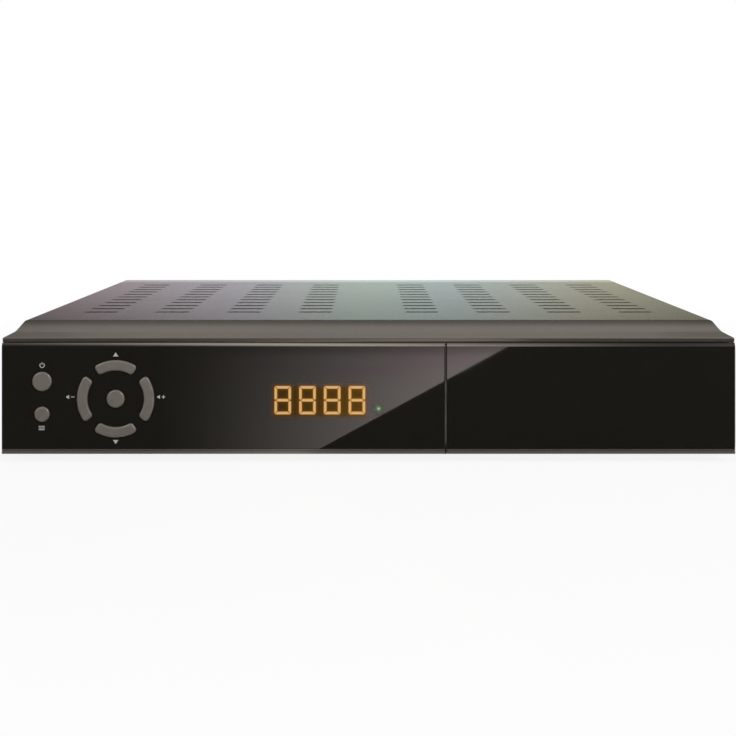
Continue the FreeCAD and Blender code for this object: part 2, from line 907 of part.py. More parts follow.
def bezel_openings():
    """Top chamfer, strip groove, flap room and the holes for buttons, display and receiver."""
    slope = panel_chamfer / panel_chamfer_depth
    corner = [(front - play, panel_top + play), (front - play, panel_top - panel_chamfer - play * slope),
              (front + panel_chamfer_depth + play / slope, panel_top + play)]
    chamfer = rounded_face(corner, [0, 0, 0], in_yz(left - play))
    tools = [chamfer.extrude(Vector(case_width, 0, 0)), strip_line(left, window_right, strip_groove_rise)]
    tools += [outline(button_gap, (front, wall_back + play)) for outline, _ in button_shapes().values()]
    through = (window_back - play, wall_back + play)
    display_left = display_x - display_width / 2 - play
    tools.append(block((display_left, led_x + led_base_radius + play), through,
                       around(display_z, display_height, play)))
    tools.append(rod(infrared_lens_radius + play, infrared_x, through, infrared_z))
    return tools + hinge_sweep()


def bezel_bosses():
    """Tongue into the cover, magnet holder and the bosses for all screws of the front."""
    wall = plastic_wall
    tongue_front = front + knee_setback + wall
    tongue = block((left + 2 * knee_setback, right - 2 * knee_setback), (tongue_front, tongue_front + wall),
                   (panel_top - wall, panel_top + bezel_tongue))
    bosses = [tongue, magnet_block(wall / 2, panel_top - wall / 2)]
    for x, z in front_screw_places():
        reach = guide_front if x in guide_screws_x else front_board_y
        bosses.append(rod(boss_radius, x, (wall_back - wall / 2, reach), z))
    bosses += [block(around(x, boss_width), (bezel_back - boss_depth, bezel_back), (under, boss_top))
               for x in bezel_screw_places()]
    bosses += [block(around(x, boss_width), (bay_back - 2 * boss_depth, bay_back),
                     (panel_top - wall - boss_width, panel_top - wall / 2)) for x in bay_boss_places()]
    return bosses


def bezel_drills():
    """Pilot holes for the screws, and the seats of the hinge pins and the magnet."""
    drills = [rod(tapping_radius, x, (wall_back, front_board_y + play), z)
              for x, z in front_screw_places()]
    depth = tapping_grip + fit_gap
    drills += [rod(tapping_radius, x, (bezel_back - depth, bezel_back + play), bezel_screw_z)
               for x in bezel_screw_places()]
    drills += [rod(tapping_radius, x, (bay_back - depth, bay_back + play), bay_boss_z)
               for x in bay_boss_places()]
    drills += [rod(hinge_pin_radius, span, hinge_y, hinge_z) for span in pin_spans()]
    return drills + [magnet_block(fit_gap, magnet_top + fit_gap)]


def front_bezel():
    """Plastic front: outer walls, a seat for the window and the walls of the bay."""
    shape = without(bezel_shell(), bezel_openings())
    return without(joined([shape] + bezel_bosses()), bezel_drills())


def strip_line(x_low, x_high, rise):
    """Fine groove along the bottom strip."""
    return block((x_low - play, x_high + play), (front - play, front + strip_groove),
                 (under + rise, under + rise + strip_groove))


def hinge_sweep():
    """Room that the flap's lower edge takes behind and under the hinge as it swings."""
    x = (flap_left - play, right + play)
    ear = hinge_knuckle_radius
    disc = rod(sweep_radius, x, hinge_y, hinge_z)
    low = disc.common(block(x, (front - play, hinge_y + sweep_radius), (0, hinge_z - ear)))
    step = block(x, (front - play, hinge_y), (hinge_z - ear, hinge_z))
    return [low, step.cut(rod(ear, x, hinge_y, hinge_z))]


def pin_spans():
    """Reach of the two hinge pins along X, from wall to knuckle."""
    reach = hinge_knuckle_length
    return [(bay_left - partition_wall + hinge_overlap, bay_left + reach),
            (bay_right - reach, bay_right + plastic_wall - hinge_overlap)]


def magnet_block(grow, high):
    """Block around the magnet's place, grown to the sides, in depth and downwards."""
    return block(around(magnet_x, magnet_width, grow), (magnet_front, magnet_front + magnet_depth + grow),
                 (magnet_bottom - grow, high))


def flap_strike_plate():
    """Steel plate on the back of the flap, in front of the magnet."""
    return block(around(magnet_x, magnet_width), (strike_front, strike_front + strike_thickness),
                 (magnet_bottom, magnet_bottom + magnet_height))


def display_window():
    """Gloss plate with a hole for each button."""
    sheet = block((left + window_border + fit_gap, window_right), (front, window_back),
                  (under + strip_height + fit_gap, panel_top - panel_chamfer - fit_gap))
    return without(sheet, [outline(button_gap, (front - play, window_back + play))
                           for outline, _ in button_shapes().values()])


def flap_door():
    """Flap over the full height of the panel, with two hinge knuckles at its lower edge."""
    side = [(front, under), (front + flap_thickness, under), (front + flap_thickness, panel_top),
            (front + panel_chamfer_depth, panel_top), (front, panel_top - panel_chamfer)]
    sheet = rounded_face(side, [0] * len(side), in_yz(flap_left)).extrude(Vector(right - flap_left, 0, 0))
    pieces = [sheet]
    reach = hinge_knuckle_length
    spans = [(bay_left + play, bay_left + reach), (bay_right - reach, bay_right - play)]
    ear = hinge_knuckle_radius
    for span in spans:
        pieces.append(rod(ear, span, hinge_y, hinge_z))
        pieces.append(block(span, (front + flap_thickness / 2, hinge_y), (hinge_z - ear, hinge_z + ear)))
    tools = [rod(hinge_pin_radius + running_gap, (span[0] - play, span[1] + play), hinge_y, hinge_z)
             for span in spans]
    tools += [strip_line(flap_left, right, strip_groove_rise), strip_line(flap_left, right, strip_height)]
    return without(joined(pieces), tools)


def ci_slot_z(level):
    return board_top + ci_floor + ci_slot_pitch * level + ci_slot_height / 2


def reader_z(level):
    """Underside of the lower (0) or the upper (1) smart card reader."""
    return card_board_z - reader_height + level * (reader_height + board_thickness)


def card_bay_frame():
    """Dark frame behind the flap, with the mouths of the card slots."""
    x = (bay_left + fit_gap, bay_right - fit_gap)
    wall = block(x, (bay_back, bezel_back), (bay_floor, panel_top - plastic_wall - fit_gap))
    floor = block(x, (front + flap_thickness + 2 * play, bezel_back), (bay_floor, bay_floor + plastic_wall))
    shelf = block((reader_left + plastic_wall, reader_right - plastic_wall),
                  (bezel_back - plastic_wall / 2, bezel_back + bay_shelf),
                  (reader_z(0) - plastic_wall, reader_z(0)))
    y = (bay_back - play, bezel_back + play)
    tools = []
    for level in (0, 1):
        z = ci_slot_z(level)
        tools.append(block((cage_left + cage_wall, cage_right - cage_wall), y,
                           around(z, ci_slot_height)))
        tools.append(block(around(eject_x, eject_stem_width, play), y,
                           around(z, eject_stem_height, play)))
        slot = reader_z(level) + reader_height / 2
        tools.append(block((reader_left + reader_wall, reader_right - reader_wall), y,
                           around(slot, smart_slot_height)))
    tools += [rod(tapping_radius + fit_gap, place, y, bay_boss_z) for place in bay_boss_places()]
    return without(joined([wall, floor, shelf]), tools)


def card_cage():
    """Guide for two interface cards, one above the other, with staples for the eject rods."""
    body = block((cage_left, cage_right), (cage_front, cage_back), (board_top, board_top + cage_height))
    staples = []
    tools = []
    stem = around(eject_x, eject_stem_width, card_play)
    for level in (0, 1):
        z = ci_slot_z(level)
        tools.append(block((cage_left + cage_wall, cage_right - cage_wall),
                           (cage_front - play, cage_front + ci_slot_depth),
                           around(z, ci_slot_height)))
        for y in (cage_front + eject_guide_width, cage_front + eject_stem_length - 3 * eject_guide_width):
            staples.append(block((cage_right - cage_wall / 2, stem[1] + cage_wall / 4),
                                 around(y, eject_guide_width), around(z, 2 * eject_stem_height)))
        tools.append(block(stem, (cage_front - play, cage_back),
                           around(z, eject_stem_height, card_play)))
    return without(joined([body] + staples), tools)


def eject_button(level):
    """Cap in the bay with a flat rod that runs back along the cage."""
    z = ci_slot_z(level)
    cap = block(around(eject_x, eject_cap_width), (eject_cap_front, eject_cap_back),
                around(z, eject_cap_height))
    edges = [edge for edge in cap.Edges if edge.BoundBox.YMax < eject_cap_front + tolerance]
    cap = cap.makeFillet(button_rim, edges)
    stem = block(around(eject_x, eject_stem_width),
                 (eject_cap_back - play, cage_front + eject_stem_length),
                 around(z, eject_stem_height))
    return joined([cap, stem])


def card_readers():
    """Two smart card readers, under and over their board."""
    readers = []
    for level in (0, 1):
        z = reader_z(level)
        body = block((reader_left, reader_right), (reader_front, reader_front + reader_depth),
                     (z, z + reader_height))
        middle = z + reader_height / 2
        slot = block((reader_left + reader_wall, reader_right - reader_wall),
                     (reader_front - play, reader_front + reader_slot_depth),
                     around(middle, smart_slot_height))
        readers.append(body.cut(slot))
    return readers


def card_spacer_places():
    y = card_board_front + card_board_depth - board_screw_inset
    return [(x, y) for x in (reader_left + board_screw_inset, reader_right - board_screw_inset)]


def card_board():
    sheet = block((reader_left, reader_right), (card_board_front, card_board_front + card_board_depth),
                  (card_board_z, card_board_z + board_thickness))
    through = (card_board_z - play, card_board_z + board_thickness + play)
    return without(sheet, [rod(screw_radius + fit_gap, x, y, through) for x, y in card_spacer_places()])


def card_board_spacers():
    """Tall spacers between the main board and the rear of the card board."""
    spacers = []
    for x, y in card_spacer_places():
        post = rod(card_spacer_radius, x, y, (board_top, card_board_z))
        spacers.append(post.cut(rod(screw_radius, x, y, (card_board_z - screw_length, card_board_z))))
    return spacers


def circuit_board(x, y):
    sheet = block(x, y, (board_z, board_top))
    return without(sheet, [rod(screw_radius + fit_gap, u, v, (board_z - play, board_top + play))
                           for u, v in standoff_places(x, y)])


def board_standoffs():
    """Round standoffs between the tray and both boards."""
    standoffs = []
    for x, y in board_screw_places():
        post = rod(standoff_radius, x, y, (pan_top, board_z))
        standoffs.append(post.cut(rod(screw_radius, x, y, (pan_top, board_z))))
    return standoffs


def board_screws():
    down = Vector(0, 0, -1)
    places = [Vector(x, y, board_top) for x, y in board_screw_places()]
    places += [Vector(x, y, card_board_z + board_thickness) for x, y in card_spacer_places()]
    return [case_screw(place, down) for place in places]


def case_screws():
    """Screws of the cover and the rear panel."""
    screws = [case_screw(Vector(side * (case_width / 2 - cover_side_setback), y, side_screw_z),
                         Vector(-side, 0, 0)) for side, y in side_screw_places()]
    inwards = Vector(0, -1, 0)
    screws += [case_screw(Vector(x, back, rear_screw_z), inwards) for x in rear_screw_places()]
    screws += [case_screw(Vector(x, rear_face, pan_screw_z), inwards) for x in rear_screw_places()]
    return screws


def segment_bar(length, x, z, upright):
    """One bar of a digit, with pointed ends, around its middle."""
    half, side = length / 2 - segment_gap / 2, segment_width / 2
    points = [(-half, 0), (-half + side, -side), (half - side, -side), (half, 0), (half - side, side),
              (-half + side, side)]
    if upright:
        points = [(-v, u) for u, v in points]
    return plate([(x + u, z + v) for u, v in points], 0, in_xz(segment_front),
                 Vector(0, segment_thickness, 0))


def digit_segments():
    """Digits of seven bars each."""
    bars = []
    across = digit_width - segment_width
    rise = (digit_height - segment_width) / 2
    for index in range(digit_count):
        x = display_x + (index - (digit_count - 1) / 2) * digit_pitch
        bars += [segment_bar(across, x, display_z + level * rise, False) for level in (-1, 0, 1)]
        bars += [segment_bar(rise, x + side * across / 2, display_z + level * rise / 2, True)
                 for side in (-1, 1) for level in (-1, 1)]
    return bars


def display_module():
    return block(around(display_x, display_width), (display_front, front_board_y),
                 around(display_z, display_height))


def status_led():
    lens = rod(led_radius, led_x, (segment_front, front_board_y), led_z)
    lens = lens.makeFillet(led_radius / 2, [edge for edge in lens.Edges
                                            if edge.BoundBox.YMax < segment_front + tolerance])
    return joined([lens, rod(led_base_radius, led_x, (front_board_y - plastic_wall, front_board_y), led_z)])


def infrared_receiver():
    """Moulded receiver with a round lens towards the front."""
    half = infrared_width / 2
    body = block((infrared_x - half, infrared_x + half), (front_board_y - infrared_depth, front_board_y),
                 around(infrared_z, infrared_height))
    lens = rod(infrared_lens_radius, infrared_x, (wall_back - plastic_wall / 2, front_board_y - play),
               infrared_z)
    return joined([body, lens])


def band(points, bend, width, place, along):
    """Flat cable along a route of straight runs and tangent bends."""
    offset = []
    for distance in (0, ribbon_thickness):
        route = []
        for index, (u, v) in enumerate(points):
            before = points[index - 1] if index else None
            after = points[index + 1] if index + 1 < len(points) else None
            directions = []
            for start, end in ((before, (u, v)), ((u, v), after)):
                if start and end:
                    length = math.hypot(end[0] - start[0], end[1] - start[1])
                    directions.append(((end[0] - start[0]) / length, (end[1] - start[1]) / length))
            normals = [(-b, a) for a, b in directions]
            normal = (sum(n[0] for n in normals), sum(n[1] for n in normals))
            share = distance * len(normals) / (normal[0] ** 2 + normal[1] ** 2)
            route.append((u + normal[0] * share, v + normal[1] * share))
        offset.append(route)
    outline = offset[0] + offset[1][::-1]
    inner = [0] + [bend] * (len(points) - 2) + [0]
    radii = inner + inner
    for index in range(1, len(points) - 1):
        (u0, v0), (u1, v1), (u2, v2) = points[index - 1:index + 2]
        turns_left = (u1 - u0) * (v2 - v1) > (v1 - v0) * (u2 - u1)
        radii[index] += ribbon_thickness if turns_left else 0
        radii[len(outline) - 1 - index] += 0 if turns_left else ribbon_thickness
    return rounded_face(outline, radii, place).extrude(along * width)


def front_ribbon():
    """Flat cable from the front board back and down to the main board, with a plug at each end."""
    half = ribbon_width / 2
    x = main_board_left + ribbon_inset + half
    z = board_top + ribbon_plug + ribbon_arch
    y = main_board_front + ribbon_plug
    plug_front = block((x - half, x + half), (front_board_back, front_board_back + ribbon_plug),
                       around(z, ribbon_plug))
    plug_back = block((x - half, x + half), around(y, ribbon_plug),
                      (board_top, board_top + ribbon_plug))
    route = [(front_board_back + ribbon_plug - play, z), (y, z), (y, board_top + ribbon_plug - play)]
    cable = band(route, ribbon_bend, ribbon_width, in_yz(x - half), Vector(1, 0, 0))
    return joined([plug_front, plug_back, cable])


def power_harness():
    """Flat harness over the gap between the power board and the main board."""
    y = main_board_back - power_board_depth / 2
    z = board_top + ribbon_plug
    x_low = power_board_right - board_screw_inset - ribbon_plug
    x_high = main_board_left + board_screw_inset + ribbon_plug
    pieces = [block(around(x, ribbon_plug), (y, y + harness_width), (board_top, z))
              for x in (x_low, x_high)]
    route = [(x_low, z - play), (x_low, z + ribbon_arch), (x_high, z + ribbon_arch), (x_high, z - play)]
    pieces.append(band(route, ribbon_bend, harness_width, in_xz(y), Vector(0, 1, 0)))
    return joined(pieces)


def main_processor_place():
    return (main_board_right - processor_inset, main_board_back - processor_setback)


def main_processor():
    x, y = main_processor_place()
    half = processor_side / 2
    return block((x - half, x + half), (y - half, y + half), (board_top, board_top + processor_height))


def heat_sink():
    """Finned heat sink on the main processor."""
    x, y = main_processor_place()
    half = sink_side / 2
    low = board_top + processor_height
    base = block((x - half, x + half), (y - half, y + half), (low, low + sink_base))
    step = (sink_side - sink_fin_thickness) / (sink_fins - 1)
    fins = [block((x - half + index * step, x - half + index * step + sink_fin_thickness),
                  (y - half, y + half), (low, low + sink_height)) for index in range(sink_fins)]
    return joined([base] + fins)


def memory_chips():
    x, _ = main_processor_place()
    y = main_board_back - memory_setback
    chips = []
    for index in range(memory_count):
        middle = x + (index - (memory_count - 1) / 2) * memory_pitch
        chips.append(block(around(middle, memory_width), (y, y + memory_length),
                           (board_top, board_top + memory_height)))
    return chips


def can_capacitor(radius, height, x, y):
    """Standing capacitor with a rounded top edge."""
    can = rod(radius, x, y, (board_top, board_top + height))
    return can.makeFillet(button_rim, [edge for edge in can.Edges
                                       if edge.BoundBox.ZMin > board_top + height - tolerance])


def board_capacitors():
    y = main_board_back - memory_setback - memory_length
    return [can_capacitor(capacitor_radius, capacitor_height,
                          main_board_left + 2 * capacitor_radius, y - index * capacitor_pitch)
            for index in range(capacitor_count)]


def tuner_can():
    """Shielded tuner box at the rear edge of the main board, with a folded lid line."""
    box = block((tuner_left, tuner_right), (rear_inner - fit_gap - tuner_depth, rear_inner - fit_gap),
                (board_top, board_top + tuner_height))
    groove = block((tuner_left - play, tuner_right + play),
                   (rear_inner - tuner_depth, rear_inner - tuner_depth + play),
                   (board_top + tuner_height - cover_sheet - play, board_top + tuner_height - cover_sheet))
    return box.cut(groove)


def aerial_connectors():
    """Threaded coaxial sockets on the tuner, through the rear panel."""
    sockets = []
    for x, z in aerial_places():
        neck = rod(aerial_neck_radius, x, (rear_inner - fit_gap, barrel_start), z)
        barrel = rod(aerial_radius, x, (barrel_start, back + connector_reach), z)
        bore = rod(aerial_bore, x, (rear_face, back + connector_reach + play), z)
        sockets.append(without(joined([neck, barrel]), [bore]))
    return sockets


def phono_housing():
    """Block behind the phono jacks, with an insulator inside each shell."""
    face = rear_inner - fit_gap
    body = block((phono_left, phono_right), (face - phono_block_depth, face),
                 (board_top, board_top + phono_block_height))
    cores = [rod(phono_radius - phono_shell, x, (face - play, back + phono_reach - play), z)
             for x, z in phono_places()]
    holes = [rod(phono_contact_radius, x, (rear_inner, back + phono_reach), z) for x, z in phono_places()]
    return without(joined([body] + cores), holes)


def phono_jacks():
    """Metal shells, narrower where they pass through the rear panel."""
    jacks = []
    core_radius = phono_radius - phono_shell
    for x, z in phono_places():
        neck = rod(core_radius + phono_neck_wall, x, (rear_inner - fit_gap, barrel_start), z)
        shell = rod(phono_radius, x, (barrel_start, back + phono_reach), z)
        room = rod(core_radius, x, (rear_inner - play, back + phono_reach + play), z)
        jacks.append(without(joined([neck, shell]), [room]))
    return jacks


def scart_sockets():
    """Two multi-way sockets, one on the other, each with a slot for the plug's shell."""
    sockets = []
    for x, z in scart_centres():
        body = block((scart_left, scart_right), (rear_inner - scart_depth, rear_inner - fit_gap),
                     around(z, scart_height))
        face = rear_face + play
        nose = scart_prism(2 * play, x, z, (rear_inner - scart_depth / 2, face))
        slot = (face - scart_slot_depth, face + scart_slot_depth)
        outer = scart_prism(0, x, z, slot, plug=True)
        core = scart_prism(scart_shell_gap, x, z, slot, plug=True)
        sockets.append(without(joined([body, nose]), [outer.cut(core)]))
    return sockets


def hdmi_socket():
    """Flat metal socket with a contact tongue."""
    z = (board_top, board_top + hdmi_height)
    y = (rear_inner - hdmi_depth, rear_face + play)
    body = block((hdmi_left, hdmi_right), y, z)
    room = block((hdmi_left + hdmi_wall, hdmi_right - hdmi_wall), (y[0] + hdmi_back_wall, y[1] + play),
                 (z[0] + hdmi_wall, z[1] - hdmi_wall))
    middle = (z[0] + z[1]) / 2
    tongue = block((hdmi_left + 4 * hdmi_wall, hdmi_right - 4 * hdmi_wall),
                   (y[0], y[1] - hdmi_tongue_setback),
                   around(middle, hdmi_tongue))
    return joined([body.cut(room), tongue])


def serial_socket():
    """Nine-way data socket held on the rear panel."""
    plate_y = (rear_inner - serial_plate_depth, rear_inner)
    body = block(around(serial_x, serial_plate_width), plate_y,
                 around(serial_z, serial_plate_height))
    u, v = serial_shell_width / 2, serial_shell_height / 2
    slant = serial_shell_slant
    shell = [(serial_x - u + slant, serial_z - v), (serial_x + u - slant, serial_z - v),
             (serial_x + u, serial_z + v), (serial_x - u, serial_z + v)]
    tip = rear_inner + serial_shell_reach
    nose = plate(shell, slant, in_xz(rear_inner - play), Vector(0, tip - rear_inner + play, 0))
    holes = []
    for shift, count in serial_rows.items():
        for index in range(count):
            x = serial_x + (index - (count - 1) / 2) * serial_hole_pitch
            z = serial_z + shift * serial_row_pitch
            holes.append(rod(serial_hole_radius, x, (tip - serial_hole_depth, tip + play), z))
    return without(joined([body, nose]), holes)


def mains_inlet():
    """Snap-in inlet with two round pins. Its mouth has the shape of a figure of eight."""
    flange = block(around(inlet_x, inlet_width), (rear_face, rear_face + inlet_flange),
                   around(inlet_z, inlet_height))
    body = block(around(inlet_x, inlet_width, -inlet_lip),
                 (rear_face - inlet_depth, rear_face + inlet_flange),
                 around(inlet_z, inlet_height, -inlet_lip))
    mouth_y = rear_face + inlet_flange - inlet_hole_depth
    mouth = plate(rectangle(around(inlet_x, inlet_hole_width), around(inlet_z, inlet_hole_height)),
                  inlet_hole_height / 2 - fit_gap, in_xz(mouth_y), Vector(0, inlet_hole_depth + play, 0))
    pins = [rod(inlet_pin_radius, inlet_x + side * inlet_pin_spacing / 2,
                (mouth_y - play, mouth_y + inlet_pin_length), inlet_z) for side in (-1, 1)]
    tabs = [block(around(x, inlet_tab_width),
                  (rear_face - inlet_depth - inlet_tab_length, rear_face - inlet_depth + play),
                  around(inlet_z, inlet_tab_thickness))
            for x in wire_places()]
    return joined([flange.fuse(body).cut(mouth)] + pins + tabs)


def wire_places():
    return [inlet_x - inlet_pin_spacing / 2, inlet_x + inlet_pin_spacing / 2]


def mains_wires():
    """Two insulated wires from the inlet's tabs down to the power board."""
    wires = []
    start = rear_face - inlet_depth - inlet_tab_length
    y = start - wire_lead - wire_bend
    turn = math.sqrt(0.5) * wire_bend
    for x in wire_places():
        points = [Vector(x, start, inlet_z), Vector(x, y + wire_bend, inlet_z),
                  Vector(x, y, inlet_z - wire_bend), Vector(x, y, board_top)]
        middle = Vector(x, y + wire_bend - turn, inlet_z - wire_bend + turn)
        route = Part.Wire([Part.LineSegment(points[0], points[1]).toShape(),
                           Part.Arc(points[1], middle, points[2]).toShape(),
                           Part.LineSegment(points[2], points[3]).toShape()])
        ring = Part.Wire([Part.Circle(points[0], Vector(0, 1, 0), wire_radius).toShape()])
        wires.append(route.makePipeShell([ring], True, False))
    return wires


def power_switch_body():
    """Snap-in switch housing with bearings for the rocker's axle."""
    lip = block(around(rocker_x, rocker_body_width, inlet_lip),
                (rear_face, rear_face + inlet_flange),
                around(inlet_z, rocker_body_height, inlet_lip))
    body = block(around(rocker_x, rocker_body_width),
                 (rear_face - rocker_body_depth, rear_face + inlet_flange),
                 around(inlet_z, rocker_body_height))
    swing = math.radians(rocker_swing / 2)
    half = rocker_width / 2 * math.cos(swing) + (rocker_depth + rocker_dish()) * math.sin(swing) + play
    room = block((rocker_x - half, rocker_x + half), (rocker_y - rocker_room, rear_face + 2 * inlet_flange),
                 around(inlet_z, rocker_height, play))
    reach = rocker_height / 2 + play + rocker_axle_bearing + fit_gap
    axle = rod(rocker_axle_radius + running_gap, rocker_x, rocker_y, (inlet_z - reach, inlet_z + reach))
    return without(lip.fuse(body), [room, axle])


def rocker_dish():
    """How far the middle of the rocker's face lies under its two raised ends."""
    return rocker_width / 2 * math.tan(math.radians(rocker_swing / 2))


def power_rocker():
    """Rocker with its axle, tilted to the off side."""
    half, dish = rocker_width / 2, rocker_dish()
    heel = -2 * rocker_axle_radius
    section = [(-half, heel), (half, heel), (half, rocker_depth + dish / 2),
               (0, rocker_depth - dish / 2), (-half, rocker_depth + dish / 2)]
    points = [(rocker_x + u, rocker_y + v) for u, v in section]
    body = plate(points, rocker_corner, in_xy(inlet_z - rocker_height / 2), Vector(0, 0, rocker_height))
    reach = rocker_height / 2 + play + rocker_axle_bearing
    axle = rod(rocker_axle_radius, rocker_x, rocker_y, (inlet_z - reach, inlet_z + reach))
    whole = joined([body, axle])
    whole.rotate(Vector(rocker_x, rocker_y, inlet_z), Vector(0, 0, 1), -rocker_swing / 2)
    return whole


def transformer():
    """Ferrite core around a wound bobbin."""
    x, y = power_board_left + transformer_inset, power_board_front + transformer_setback
    half_x, half_y = transformer_width / 2, transformer_depth / 2
    low, high = board_top, board_top + transformer_height
    core = block((x - half_x, x + half_x), around(y, transformer_core), (low, high))
    head_top = high - transformer_head_drop
    bobbin = rod(min(half_x, half_y), x, y, (low, head_top))
    foot = block((x - half_x, x + half_x), (y - half_y, y + half_y), (low, low + transformer_foot))
    head = block((x - half_x + transformer_head_inset, x + half_x - transformer_head_inset),
                 (y - half_y, y + half_y), (head_top - transformer_head, head_top))
    return joined([core, bobbin, foot, head])


def mains_capacitor():
    return can_capacitor(mains_capacitor_radius, mains_capacitor_height,
                         power_board_left + mains_capacitor_inset, power_board_back - power_row_setback)


def power_heat_sink():
    """Channel-shaped heat sink standing on the power board."""
    x = power_board_right - power_sink_width - board_screw_inset
    y = power_board_back - power_row_setback
    low, high = board_top, board_top + power_sink_height
    body = block((x, x + power_sink_width), (y, y + power_sink_depth), (low, high))
    room = block((x + power_sink_wall, x + power_sink_width - power_sink_wall),
                 (y + power_sink_wall, y + power_sink_depth + play), (low - play, high + play))
    return body.cut(room)


def fuse():
    """Glass fuse between two end caps on short legs."""
    x = power_board_left + fuse_inset
    y = power_board_back - fuse_setback
    z = board_top + fuse_cap_radius
    tube = rod(fuse_radius, (x, x + fuse_length), y, z)
    pieces = [tube]
    for start in (x, x + fuse_length - fuse_cap_length):
        pieces.append(rod(fuse_cap_radius, (start, start + fuse_cap_length), y, z))
        pieces.append(block((start, start + fuse_cap_length), around(y, fuse_leg),
                            (board_top, z)))
    return joined(pieces)


def output_capacitors():
    x = power_board_right - board_screw_inset - output_capacitor_radius
    y = power_board_front + board_screw_inset + output_capacitor_pitch
    return [can_capacitor(output_capacitor_radius, output_capacitor_height, x,
                          y + index * output_capacitor_pitch)
            for index in range(output_capacitor_count)]


os.makedirs("parts", exist_ok=True)
save("top_cover", top_cover())
save("chassis_pan", chassis_pan())
save("rear_panel", rear_panel())
save("rubber_feet", *rubber_feet())
save("case_screws", *case_screws())
save("front_bezel", front_bezel())
save("display_window", display_window())
save("flap_door", flap_door())
save("flap_hinge_pins", *[rod(hinge_pin_radius, span, hinge_y, hinge_z) for span in pin_spans()])
save("flap_magnet", magnet_block(0, magnet_top))
save("flap_strike_plate", flap_strike_plate())
save("card_bay_frame", card_bay_frame())
for name, (outline, place) in button_shapes().items():
    save(name, front_button(outline, place))
save("button_guide", button_guide())
save("tact_switches", *tact_switches())
save("front_board", front_board())
save("plastic_screws", *plastic_screws())
save("display_module", display_module())
save("digit_segments", *digit_segments())
save("status_led", status_led())
save("infrared_receiver", infrared_receiver())
save("front_ribbon", front_ribbon())
save("card_cage", card_cage())
save("eject_button_lower", eject_button(0))
save("eject_button_upper", eject_button(1))
save("card_readers", *card_readers())
save("card_board", card_board())
save("card_board_spacers", *card_board_spacers())
save("main_board", circuit_board((main_board_left, main_board_right), (main_board_front, main_board_back)))
save("power_board", circuit_board((power_board_left, power_board_right),
                                  (power_board_front, power_board_back)))
save("board_standoffs", *board_standoffs())
save("board_screws", *board_screws())
save("main_processor", main_processor())
save("heat_sink", heat_sink())
save("memory_chips", *memory_chips())
save("board_capacitors", *board_capacitors())
save("tuner_can", tuner_can())
save("aerial_connectors", *aerial_connectors())
save("phono_housing", phono_housing())
save("phono_jacks", *phono_jacks())
save("scart_sockets", *scart_sockets())
save("hdmi_socket", hdmi_socket())
save("serial_socket", serial_socket())
save("transformer", transformer())
save("mains_capacitor", mains_capacitor())
save("power_heat_sink", power_heat_sink())
save("fuse", fuse())
save("output_capacitors", *output_capacitors())
save("power_harness", power_harness())
save("mains_inlet", mains_inlet())
save("mains_wires", *mains_wires())
save("power_switch_body", power_switch_body())
save("power_rocker", power_rocker())
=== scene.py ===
import functools
import json
from math import atan2, copysign, cos, exp, hypot, pi, radians, sin, tan, tau

import bmesh
import bpy
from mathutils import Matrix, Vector


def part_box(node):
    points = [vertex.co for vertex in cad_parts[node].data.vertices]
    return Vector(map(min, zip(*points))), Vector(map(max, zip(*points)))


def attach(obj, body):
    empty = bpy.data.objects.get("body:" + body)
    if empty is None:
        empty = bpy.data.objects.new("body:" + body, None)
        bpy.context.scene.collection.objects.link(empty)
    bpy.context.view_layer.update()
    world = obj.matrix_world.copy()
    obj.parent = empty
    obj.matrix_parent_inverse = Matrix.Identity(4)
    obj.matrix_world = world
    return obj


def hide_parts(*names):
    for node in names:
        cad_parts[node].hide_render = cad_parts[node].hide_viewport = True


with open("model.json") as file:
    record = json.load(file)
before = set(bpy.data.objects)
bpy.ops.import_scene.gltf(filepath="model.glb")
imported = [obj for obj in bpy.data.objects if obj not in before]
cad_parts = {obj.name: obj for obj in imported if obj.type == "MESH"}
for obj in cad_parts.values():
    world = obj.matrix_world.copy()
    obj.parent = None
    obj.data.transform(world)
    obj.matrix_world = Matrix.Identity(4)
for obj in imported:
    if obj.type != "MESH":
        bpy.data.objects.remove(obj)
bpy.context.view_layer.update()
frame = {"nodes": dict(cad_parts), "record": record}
nodes = frame["nodes"]
mm = 0.001
black, white = (0, 0, 0, 1), (1, 1, 1, 1)
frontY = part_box("display_window")[0].y
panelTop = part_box("flap_door")[1].z
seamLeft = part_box("display_window")[1].x
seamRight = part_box("flap_door")[0].x
print("frame loaded:", len(nodes), "nodes")


def tone(red, green, blue):
    # a screen colour, 0 to 255, as the linear colour that shaders take
    def linear(value):
        value = value / 255
        return value / 12.92 if value <= 0.04045 else ((value + 0.055) / 1.055) ** 2.4
    return (linear(red), linear(green), linear(blue), 1.0)


def shade(colour, factor):
    return tuple(channel * factor for channel in colour[:3]) + (1.0,)


# node helpers: each adds to the tree that was opened last, and most give back a socket
graph = {}


def openTree(owner):
    owner.use_nodes = True
    graph["tree"] = owner.node_tree
    return owner.node_tree.nodes


def feed(node, values):
    # sockets are linked, anything else is set
    for key, value in values.items():
        if isinstance(value, bpy.types.NodeSocket):
            graph["tree"].links.new(value, node.inputs[key])
        else:
            node.inputs[key].default_value = value


def add(kind, values=None, **settings):
    node = graph["tree"].nodes.new("ShaderNode" + kind)
    for key, value in settings.items():
        setattr(node, key, value)
    feed(node, values or {})
    return node


def newMaterial(name):
    material = bpy.data.materials.new(name)
    return material, openTree(material)["Principled BSDF"]


def showShader(shader):
    feed(graph["tree"].nodes["Material Output"], {"Surface": shader.outputs[0]})


def place(stretch=(1, 1, 1)):
    coords = add("TexCoord").outputs["Object"]
    return add("Mapping", {"Vector": coords, "Scale": stretch}).outputs["Vector"]


def axes(kind="Object"):
    split = add("SeparateXYZ", {0: add("TexCoord").outputs[kind]})
    return split.outputs["X"], split.outputs["Y"], split.outputs["Z"]


